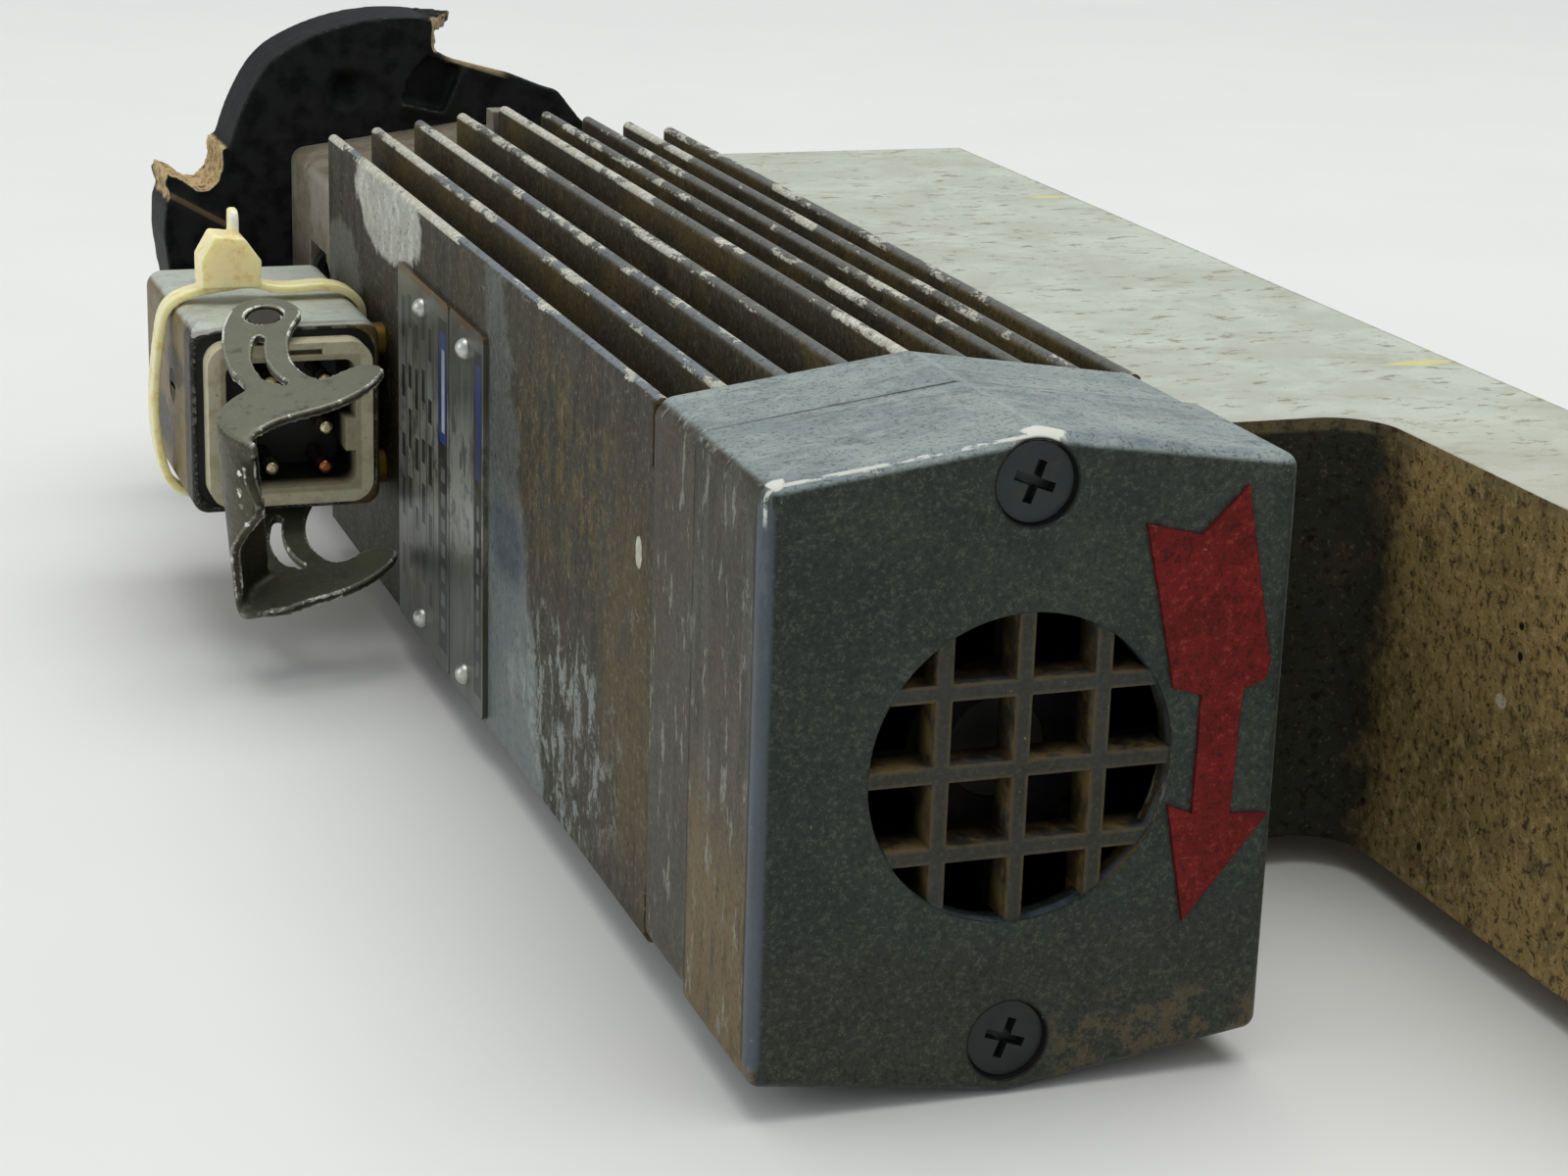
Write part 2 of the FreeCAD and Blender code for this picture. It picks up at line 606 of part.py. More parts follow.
def connector_housing():
    y0, y1 = CON_Y
    body = block(CON_X - CON_HALF, CON_X + CON_HALF, y0, y1, CON_Z - CON_HALF, CON_Z + CON_HALF)
    body = body.makeFillet(CON_R, [e for e in body.Edges if along_y(e)])
    body = body.makeFillet(1.0, edges_at_y(body, y0) + edges_at_y(body, y1))
    inside = CON_HALF - CON_WALL
    body = body.cut(block(CON_X - inside, CON_X + inside, y0 + 8, y1 - CON_WALL,
                          CON_Z - inside, CON_Z + inside))
    body = body.cut(rounded_square(CON_X, CON_Z, SEAL_HALF, 4.0, y0 - 1, y0 + 4))
    body = body.cut(rounded_square(CON_X, CON_Z, CON_HALF - CON_WALL - 0.6, 2.0, y0 - 1, y0 + 9))
    right = CON_X + CON_HALF
    body = body.cut(rod_x(NIPPLE_Y, NIPPLE_Z, NIPPLE_R + GAP, right - 6, right + 1))
    for y, z in connector_screw_places():
        body = body.cut(rod_x(y, z, M3_R + GAP, right - 6, right + 1))
        body = body.cut(rod_x(y, z, M3_HEAD_R + 0.1, right - 6, right - 1.2))
    left = CON_X - CON_HALF
    body = body.cut(rod_x(EARTH_Y, EARTH_Z, M3_R + GAP, left - 1, left + CON_WALL + 1))
    body = body.cut(rod_x(EARTH_Y, EARTH_Z, 2.9, left - 1, left + 1.2))
    body = body.cut(lever_sweep(LEVER_EYE, -LEVER_T / 2 - LEVER_PLAY, 8.0))
    body = body.cut(lever_sweep(lower_eye(), -8.0, LEVER_T / 2 + LEVER_PLAY))
    for stud in lever_pivot_pins():
        body = body.cut(stud)
    return body.removeSplitter()


def lever_sweep(eye, low, high):
    """Room over the connector housing that an arm needs as the lever swings out to the left."""
    flat = Part.makeCylinder(LEVER_SWEEP_R, high - low, V(0, 0, low), Z_AXIS)
    swing = block(-17.0, 0.0, -1.0, 8.8, low, high)
    room = flat.fuse(swing).transformGeometry(lever_frame())
    room.translate(eye - LEVER_EYE)
    return room


def lever_pivot_pins():
    """Two studs on the lever axis: one stands on the top wall, one under the bottom wall."""
    face = LEVER_T / 2
    top = rod_lever(LEVER_EYE, STUD_R, -1.7, face - 0.4)
    seal_top = CON_Z + SEAL_HALF
    top = top.cut(block(CON_X - 20, CON_X + 20, CON_Y[0] - 10, CON_Y[0] + 10, seal_top - 5, seal_top + 0.05))
    low = rod_lever(lower_eye(), STUD_R, 0.4 - face, 2.6)
    return [top, low]


def connector_seal():
    y0 = CON_Y[0] + 0.3
    ring = rounded_square(CON_X, CON_Z, SEAL_HALF, 4.0, y0, CON_Y[0] + 4)
    return ring.cut(rounded_square(CON_X, CON_Z, COLLAR_HALF, COLLAR_CORNER, y0 - 1, CON_Y[0] + 5))


def connector_insert():
    """Moulded insert: a square collar round the contact cavity, with a base behind it."""
    back = CON_Y[0] + 4
    collar = rounded_square(CON_X, CON_Z, COLLAR_HALF, COLLAR_CORNER, COLLAR_Y0, back)
    cavity = rounded_square(CON_X, CON_Z, COLLAR_HALF - COLLAR_WALL, 1.8, COLLAR_Y0 - 1,
                            COLLAR_Y0 + CAVITY_DEPTH)
    base = rounded_square(CON_X, CON_Z, CON_HALF - CON_WALL - 0.7, 2.0, back, CON_Y[0] + 16)
    body = collar.fuse(base).cut(cavity)
    inner = CON_X + COLLAR_HALF - COLLAR_WALL
    rib = block(inner - 1.6, inner + 0.5, COLLAR_Y0 + 0.2, COLLAR_Y0 + CAVITY_DEPTH, -7.2, -2.0)
    body = body.fuse(rib)
    top = CON_Z + COLLAR_HALF
    body = body.cut(block(CON_X - 1.5, CON_X + 5.0, COLLAR_Y0 - 1, COLLAR_Y0 + 2.5, top - 1.9, top - 1.0))
    body = body.cut(lever_clearance())
    for x, z in contact_places():
        body = body.cut(rod_y(x, z, PIN_R, COLLAR_Y0, CON_Y[0] + 20))
    return body.removeSplitter()


def lever_clearance():
    """Nothing of the collar stands above this in front of the lever's upper eye."""
    return lever_sweep(LEVER_EYE, -LEVER_T / 2 - LEVER_PLAY, 8.0)


def contact_places():
    return [(CON_X + x, CON_Z + z) for x, z in PIN_GRID]


def contact_pins():
    pins = []
    for x, z in contact_places():
        pin = rod_y(x, z, PIN_R, PIN_TIP_Y, CON_Y[0] + 20)
        pins.append(pin.makeFillet(0.8, edges_at_y(pin, PIN_TIP_Y)))
    return pins


def connector_nipple():
    left = CON_X + CON_HALF - CON_WALL
    tube = rod_x(NIPPLE_Y, NIPPLE_Z, NIPPLE_R, left, -HALF_W + 3.0)
    return tube.cut(rod_x(NIPPLE_Y, NIPPLE_Z, NIPPLE_R - 2.0, left - 1, -HALF_W + 4.0))


def connector_spacers():
    right = CON_X + CON_HALF
    spacers = []
    for y, z in connector_screw_places():
        sleeve = rod_x(y, z, SPACER_R, right, -HALF_W)
        spacers.append(sleeve.cut(rod_x(y, z, M3_R + GAP, right - 1, -HALF_W + 1)))
    return spacers


def connector_screws():
    right = CON_X + CON_HALF
    screws = []
    for y, z in connector_screw_places():
        shank = rod_x(y, z, M3_R, right - 1.2, -HALF_W + 5)
        head = rod_x(y, z, M3_HEAD_R, right - 1.2 - M3_HEAD_H, right - 1.2)
        screws.append(shank.fuse(head))
    return screws


def earth_screw():
    left = CON_X - CON_HALF
    head = rod_x(EARTH_Y, EARTH_Z, 2.7, left + 0.1, left + 1.2)
    shank = rod_x(EARTH_Y, EARTH_Z, M3_R, left + 1.2, left + 6.0)
    slot = block(left - 1, left + 0.7, EARTH_Y - 2.6, EARTH_Y + 2.6, EARTH_Z - 0.4, EARTH_Z + 0.4)
    return head.fuse(shank).cut(slot)


# ================= locking lever =================

def lever_frame():
    """Turns plan coordinates (u right, v towards the tool end) into the raked lever plane."""
    axis = lever_axis()
    u_dir = X_AXIS - axis * X_AXIS.dot(axis)
    u_dir.normalize()
    v_dir = axis.cross(u_dir)
    eye = LEVER_EYE
    return FreeCAD.Matrix(u_dir.x, v_dir.x, axis.x, eye.x, u_dir.y, v_dir.y, axis.y, eye.y,
                          u_dir.z, v_dir.z, axis.z, eye.z, 0, 0, 0, 1)


def curve(points):
    spline = Part.BSplineCurve()
    spline.interpolate([V(u, v, 0) for u, v in points])
    return spline.toShape()


HANDLE_BEND = [(-6.6, -22.0), (-9.6, -24.0), (-12.0, -27.6), (-12.6, -31.5), (-11.2, -36.0), (-8.7, -39.2)]


def arm_plan():
    """Sickle arm: round eye, curved neck, hook to the right and handle root to the left."""
    outer = curve([(-4.6, 3.4), (-7.3, -4.0), (-8.1, -11.5), (-7.6, -18.4), (-6.6, -22.0)])
    handle = curve(HANDLE_BEND)
    front = curve([HANDLE_BEND[-1], (-7.0, -35.2), (-2.6, -32.6), (3.6, -31.2), (9.4, -28.4), (14.4, -22.6)])
    hook = curve([(14.4, -22.6), (12.6, -20.4), (8.2, -21.3), (4.6, -22.6), (2.6, -20.0), (1.6, -13.4),
                  (2.5, -8.0), (5.5, -1.6)])
    eye = Part.Arc(V(5.5, -1.6, 0), V(1.6, 5.5, 0), V(-4.6, 3.4, 0)).toShape()
    return Part.Face(Part.Wire([outer, handle, front, hook, eye]))


def arm_slot():
    """Curved slot through the neck."""
    left = curve([(-2.9, -7.4), (-4.2, -13.0), (-3.6, -19.4), (-1.6, -22.4)])
    end = curve([(-1.6, -22.4), (-0.7, -22.9), (-0.2, -22.0)])
    right = curve([(-0.2, -22.0), (-1.8, -18.0), (-2.2, -13.0), (-1.2, -7.4)])
    top = curve([(-1.2, -7.4), (-2.0, -6.4), (-2.9, -7.4)])
    return Part.Face(Part.Wire([left, end, right, top]))


def handle_plan():
    """Curved strip that joins the two arms and is gripped to open the lever."""
    outer = curve(HANDLE_BEND)
    tip = Part.LineSegment(V(-8.7, -39.2, 0), V(-7.4, -38.4, 0)).toShape()
    inner = curve([(-7.4, -38.4), (-9.7, -35.2), (-11.0, -31.5), (-10.6, -28.4), (-8.6, -25.4),
                   (-5.8, -23.4)])
    root = Part.LineSegment(V(-5.8, -23.4, 0), V(-6.6, -22.0, 0)).toShape()
    return Part.Face(Part.Wire([outer, tip, inner, root]))


def handle_front():
    """Everything ahead of the handle's front edge, which falls back towards the lower arm."""
    edge = [(-37.8, -2.2), (-37.7, -6.0), (-38.3, -8.4), (-39.0, -10.2), (-38.6, -12.0), (-36.9, -14.6),
            (-34.4, -18.2), (-31.6, -22.2), (-30.2, -26.0), (-30.2, -29.0), (-31.6, -32.0)]
    outline = [(-60.0, -2.2)] + edge + [(-33.4, -LEVER_SPAN - LEVER_T), (-60.0, -LEVER_SPAN - LEVER_T)]
    wire = Part.makePolygon([V(-20, v, w) for v, w in outline] + [V(-20, outline[0][0], outline[0][1])])
    return Part.Face(wire).extrude(V(19.0, 0, 0))


def locking_lever():
    arm = arm_plan().cut(arm_slot())
    upper = arm.extrude(V(0, 0, LEVER_T))
    upper.translate(V(0, 0, -LEVER_T / 2))
    lower = upper.copy()
    lower.translate(V(0, 0, -LEVER_SPAN))
    web = handle_plan().extrude(V(0, 0, -LEVER_SPAN - LEVER_T))
    web.translate(V(0, 0, LEVER_T / 2))
    lower_front = block(-20, 20, -60, -33.4, -LEVER_SPAN - LEVER_T, -LEVER_SPAN + LEVER_T)
    lever = upper.fuse(lower.cut(lower_front)).fuse(web.cut(handle_front()))
    holes = Part.makeCylinder(EYE_R, LEVER_SPAN + 10, V(0, 0, -LEVER_SPAN - 5), Z_AXIS)
    lever = lever.cut(holes).removeSplitter()
    return lever.transformGeometry(lever_frame())


# ================= cable tie =================

def tie_loop(points):
    spline = Part.BSplineCurve()
    spline.interpolate([V(x, TIE_Y - TIE_W / 2, z) for x, z in points], PeriodicFlag=True)
    return Part.Face(Part.Wire([spline.toShape()])).extrude(V(0, TIE_W, 0))


def cable_tie():
    """Strap pulled round the connector housing in an upright plane, with its square head on top."""
    inside = [(-48.0, 14.3), (-41.0, 13.8), (-35.6, 13.3), (-33.0, 11.3), (-32.6, 6.0), (-32.6, -6.0),
              (-32.6, -13.6), (-33.2, -17.2), (-36.8, -18.7), (-48.0, -19.2), (-58.0, -18.9),
              (-62.6, -17.2), (-64.4, -13.0), (-65.2, -8.0), (-65.3, -3.0), (-64.9, 2.0), (-64.2, 7.0),
              (-62.9, 11.6), (-59.0, 13.6), (-54.0, 14.4)]
    outside = [(-48.0, 15.6), (-41.0, 15.1), (-35.1, 14.6), (-31.8, 12.0), (-31.3, 6.0), (-31.3, -6.0),
               (-31.3, -13.8), (-32.3, -18.2), (-36.4, -20.0), (-48.0, -20.5), (-58.2, -20.2),
               (-63.6, -18.1), (-65.7, -13.3), (-66.5, -8.1), (-66.6, -3.0), (-66.2, 2.3), (-65.5, 7.5),
               (-63.9, 12.5), (-59.4, 14.9), (-54.0, 15.7)]
    strap = tie_loop(outside).cut(tie_loop(inside))
    outline = [(-58.3, 15.3), (-48.8, 15.3), (-48.6, 19.5), (-51.2, 23.2), (-56.1, 23.8), (-58.3, 20.0)]
    head = prism_y(outline, TIE_Y - 3.9, TIE_Y + 3.9)
    tail = block(-53.2, -51.9, TIE_Y - TIE_W / 2, TIE_Y + TIE_W / 2, 22.0, 27.6)
    tail = tail.makeFillet(1.6, [e for e in tail.Edges if along_x(e) and e.Vertexes[0].Point.z > 27.0])
    return strap.fuse(head).fuse(tail).removeSplitter()


# ================= dust hood =================

def flat_face(curved, straight):
    """Face in the plane y = 0, bounded by a smooth run of points and then straight runs."""
    spline = Part.BSplineCurve()
    spline.interpolate([V(x, 0, z) for x, z in curved])
    corners = [curved[-1]] + straight + [curved[0]]
    edges = [spline.toShape()]
    for a, b in zip(corners, corners[1:]):
        edges.append(Part.LineSegment(V(a[0], 0, a[1]), V(b[0], 0, b[1])).toShape())
    return Part.Face(Part.Wire(edges))


def on_hub(angle):
    a = math.radians(angle)
    return HOOD_HUB_R * math.cos(a), HOOD_HUB_R * math.sin(a)


def hood_outline():
    """Broken hood plate behind the flange: dome, U-shaped notch and ear, and the hub side."""
    dome = [(3.0, 48.9), (-5.2, 49.4), (-12.5, 49.6), (-20.8, 48.4), (-28.4, 45.7), (-34.4, 41.9),
            (-38.2, 36.6), (-40.7, 31.2), (-42.2, 26.6)]
    notch = [(-43.6, 26.4), (-43.5, 23.6), (-44.4, 20.8), (-46.4, 19.0), (-48.6, 19.2), (-51.0, 21.4),
             (-53.5, 22.2), (-54.2, 20.2), (-53.2, 18.4)]
    low_side = [(-54.0, 15.6), (-54.3, 10.5), (-53.5, 4.0), (-50.0, -14.0), (-40.0, -27.0),
                (-30.0, -33.6), (8.0, -33.6)]
    hub_side = [on_hub(angle) for angle in (-60, -45, -30, -15, 0, 15, 30, 45, 53)]
    crest = [(20.8, 33.6), (19.1, 35.7), (16.4, 36.5), (10.0, 39.0), (3.7, 40.6), (-0.5, 41.7), (-3.7, 43.0)]
    return flat_face(dome, notch + low_side + hub_side + crest)


def hood_hollow():
    """Inside of the deep rim, which follows the dome and the ear."""
    dome = [(3.4, 45.9), (-5.2, 46.6), (-12.5, 46.8), (-20.0, 45.7), (-27.0, 43.2), (-32.3, 40.0),
            (-35.8, 35.4), (-38.2, 30.4), (-39.4, 26.0)]
    rest = [(-40.6, 15.4), (-47.0, 14.8), (-51.0, 13.0), (-51.5, 4.0), (-47.4, -13.0), (-38.2, -25.0),
            (-29.0, -31.0), (30.0, -31.0), (60.0, 0.0), (30.0, 60.0), (3.4, 60.0)]
    return flat_face(dome, rest)


def dust_hood():
    outline = hood_outline()
    plate = outline.extrude(V(0, HOOD_T, 0))
    rim = outline.cut(hood_hollow()).extrude(V(0, HOOD_DEPTH, 0))
    rim = rim.cut(block(-70, 60, -1, HOOD_DEPTH + 1, -60, -31.5))
    body = plate.fuse(rim)
    body = body.cut(rod_y(0, 0, HOOD_HOLE_R, -1, HOOD_DEPTH + 1))
    crack = Part.makePolygon([V(-5.2, -1, 43.2), V(3.4, HOOD_DEPTH + 1, 43.2), V(20, HOOD_DEPTH + 1, 43.2),
                              V(20, -1, 43.2), V(-5.2, -1, 43.2)])
    body = body.cut(Part.Face(crack).extrude(V(0, 0, 12)))
    pocket = [(-9.2, 38.5), (-5.8, 42.6), (0.6, 40.2), (-2.7, 32.2), (-10.5, 34.2)]
    body = body.cut(prism_y(pocket, -1, 1.8))
    for a, b in (((-10.6, 33.6), (-2.4, 31.6)), ((-2.4, 31.6), (1.4, 40.2)), ((-52.6, 18.0), (-42.7, 12.4))):
        body = body.fuse(bead(a, b))
    dimple = Part.makeCone(3.9, 1.4, 2.4, V(-20.8, 0, 36.6), Y_AXIS)
    body = body.cut(dimple)
    holes = [(sx * HOOD_SCREW_X, sz * HOOD_SCREW_Z) for sx, sz in signs()]
    body = drill_y(body, holes, 1.5, -1, HOOD_T + 1)
    return body.removeSplitter()


def bead(a, b):
    """Low raised rib on the motor side of the hood plate, from a to b."""
    length = math.hypot(b[0] - a[0], b[1] - a[1])
    rib = block(0, length, -0.7, 1.0, -0.5, 0.5)
    rib.rotate(V(0, 0, 0), Y_AXIS, -math.degrees(math.atan2(b[1] - a[1], b[0] - a[0])))
    rib.translate(V(a[0], 0, a[1]))
    return rib


def hood_screws():
    screws = []
    for sx, sz in signs():
        x, z = sx * HOOD_SCREW_X, sz * HOOD_SCREW_Z
        screws.append(socket_screw_y(x, z, 1.5, 2.8, 3.0, SCALLOP_Y1, HOOD_T))
    return screws


# ================= bracket =================

def bracket_casting():
    plate = block(HALF_W, BRK_X1, WEB_Y0, FLANGE_Y1, BRK_BOTTOM, BRK_TOP)
    arm = block(ARM_X0, BRK_X1, ARM_Y0, WEB_Y0 + 1, BRK_BOTTOM, BRK_TOP)
    body = plate.fuse(arm).removeSplitter()
    corner = [e for e in body.Edges if upright_at(e, ARM_X0, WEB_Y0)]
    body = body.makeFillet(BRK_CORNER, corner)
    ends = [e for e in body.Edges if upright_at(e, ARM_X0, ARM_Y0) or upright_at(e, BRK_X1, ARM_Y0)]
    body = body.makeFillet(4.0, ends)
    for x0, x1, y0, y1 in bracket_pockets():
        pocket = block(x0, x1, y0, y1, BRK_BOTTOM - 1, BRK_TOP - BRK_ROOF)
        body = body.cut(pocket.makeFillet(3.0, [e for e in pocket.Edges if upright(e)]))
    for y in BRK_SCREW_Y:
        for z in BRK_SCREW_Z:
            body = body.cut(rod_x(y, z, M6_R + 0.2, HALF_W - 1, HALF_W + BRK_WALL + 1))
    for y in DOWEL_Y:
        body = body.cut(rod_x(y, 0, DOWEL_R, HALF_W - 1, HALF_W + 5))
    for x in ARM_HOLE_X:
        body = body.cut(Part.makeCylinder(ARM_HOLE_R, 80, V(x, ARM_HOLE_Y, BRK_BOTTOM - 5), Z_AXIS))
    return body


def bracket_pockets():
    x0, x1 = HALF_W + BRK_WALL, BRK_X1 - BRK_WALL
    return ((x0, x1, WEB_Y0 + BRK_WALL, RIB_Y - BRK_WALL / 2),
            (x0, x1, RIB_Y + BRK_WALL / 2, FLANGE_Y1 - BRK_WALL))


def upright(edge):
    a, b = edge.Vertexes[0].Point, edge.Vertexes[-1].Point
    return abs(a.x - b.x) < 0.01 and abs(a.y - b.y) < 0.01


def upright_at(edge, x, y):
    a = edge.Vertexes[0].Point
    return upright(edge) and abs(a.x - x) < 0.01 and abs(a.y - y) < 0.01


def bracket_fixings():
    screws, washers = [], []
    seat = HALF_W + BRK_WALL
    for y in BRK_SCREW_Y:
        for z in BRK_SCREW_Z:
            washer = rod_x(y, z, 6.0, seat, seat + 1.6).cut(rod_x(y, z, M6_R + 0.2, seat - 1, seat + 3))
            shank = rod_x(y, z, M6_R, HALF_W - BRK_SCREW_GRIP, seat + 1.6)
            head = rod_x(y, z, M6_HEAD_R, seat + 1.6, seat + 1.6 + M6_HEAD_H)
            points = [V(seat + 5.0, y + a, z + b) for a, b in polar(2.9, 6)]
            key = Part.Face(Part.makePolygon(points + [points[0]])).extrude(V(4, 0, 0))
            screws.append(shank.fuse(head).cut(key))
            washers.append(washer)
    return screws, washers


def bracket_dowels():
    return [rod_x(y, 0, DOWEL_R, HALF_W - 4, HALF_W + 5) for y in DOWEL_Y]


# ================= write every node =================

def main():
    front_outer, front_inner, front_balls = bearing(FRONT_SEAT, FRONT_BRG)
    rear_outer, rear_inner, rear_balls = bearing(REAR_SEAT, REAR_BRG)
    screws, washers = bracket_fixings()
    nodes = {
        "fan_cover": [fan_cover()],
        "cover_screws": cover_screws(),
        "rotation_arrow": [rotation_arrow()],
        "rear_end_shield": [rear_end_shield()],
        "rear_shield_screws": rear_shield_screws(),
        "motor_housing": [motor_housing()],
        "front_end_shield": [front_end_shield()],
        "front_shield_screws": front_shield_screws(),
        "bearing_cap": [bearing_cap()],
        "bearing_cap_screws": bearing_cap_screws(),
        "shaft_seal": [shaft_seal()],
        "stator_core": [stator_core()],
        "winding_heads": winding_heads(),
        "rotor_core": [rotor_core()],
        "rotor_end_rings": rotor_end_rings(),
        "spindle_shaft": [spindle_shaft()],
        "cooling_fan": [cooling_fan()],
        "fan_circlip": [fan_circlip()],
        "front_bearing_outer_ring": [front_outer],
        "front_bearing_inner_ring": [front_inner],
        "front_bearing_balls": front_balls,
        "rear_bearing_outer_ring": [rear_outer],
        "rear_bearing_inner_ring": [rear_inner],
        "rear_bearing_balls": rear_balls,
        "bearing_preload_washer": [bearing_preload_washer()],
        "nameplate_large": [nameplate(LARGE_PLATE_Y)],
        "nameplate_small": [nameplate(SMALL_PLATE_Y)],
        "nameplate_rivets": nameplate_rivets(),
        "connector_housing": [connector_housing()],
        "connector_seal": [connector_seal()],
        "connector_insert": [connector_insert()],
        "contact_pins": contact_pins(),
        "connector_nipple": [connector_nipple()],
        "connector_spacers": connector_spacers(),
        "connector_screws": connector_screws(),
        "earth_screw": [earth_screw()],
        "lever_pivot_pins": lever_pivot_pins(),
        "locking_lever": [locking_lever()],
        "cable_tie": [cable_tie()],
        "dust_hood": [dust_hood()],
        "hood_screws": hood_screws(),
        "bracket_casting": [bracket_casting()],
        "bracket_screws": screws,
        "bracket_washers": washers,
        "bracket_dowels": bracket_dowels(),
    }
    for name, shapes in nodes.items():
        save(name, shapes)


main()
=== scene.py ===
import json
import math

import bmesh
import bpy
from mathutils import Matrix, Vector, noise as perlin


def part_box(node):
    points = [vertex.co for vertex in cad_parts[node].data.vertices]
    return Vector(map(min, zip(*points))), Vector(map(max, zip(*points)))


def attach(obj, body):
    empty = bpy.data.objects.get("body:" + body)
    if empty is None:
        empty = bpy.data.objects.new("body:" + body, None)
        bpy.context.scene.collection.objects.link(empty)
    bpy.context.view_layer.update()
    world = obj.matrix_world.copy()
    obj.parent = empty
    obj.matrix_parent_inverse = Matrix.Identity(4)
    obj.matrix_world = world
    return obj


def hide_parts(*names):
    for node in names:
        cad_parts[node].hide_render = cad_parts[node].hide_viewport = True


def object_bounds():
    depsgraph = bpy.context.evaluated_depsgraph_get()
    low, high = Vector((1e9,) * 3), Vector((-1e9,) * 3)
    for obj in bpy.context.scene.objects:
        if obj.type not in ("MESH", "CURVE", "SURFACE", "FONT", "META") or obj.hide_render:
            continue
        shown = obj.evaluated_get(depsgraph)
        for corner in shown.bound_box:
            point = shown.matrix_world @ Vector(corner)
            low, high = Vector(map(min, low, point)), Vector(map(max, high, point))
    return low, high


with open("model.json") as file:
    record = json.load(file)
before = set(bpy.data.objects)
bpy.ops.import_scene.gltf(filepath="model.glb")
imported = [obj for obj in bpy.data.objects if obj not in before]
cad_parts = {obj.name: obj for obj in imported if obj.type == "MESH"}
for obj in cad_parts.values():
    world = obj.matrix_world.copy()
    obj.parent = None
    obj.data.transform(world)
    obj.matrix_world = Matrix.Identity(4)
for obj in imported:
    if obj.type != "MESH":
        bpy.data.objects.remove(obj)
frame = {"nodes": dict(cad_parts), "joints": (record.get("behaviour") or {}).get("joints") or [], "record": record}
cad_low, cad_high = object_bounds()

MM = 0.001
nodes = frame["nodes"]
slots = {row["node"]: row["material_slot"] for row in frame["record"]["subparts"]}
scene = bpy.context.scene


def box_mm(node):
    """Lowest and highest corner of a CAD node, in millimetres."""
    low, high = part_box(node)
    return low / MM, high / MM


# ======== material graphs ========

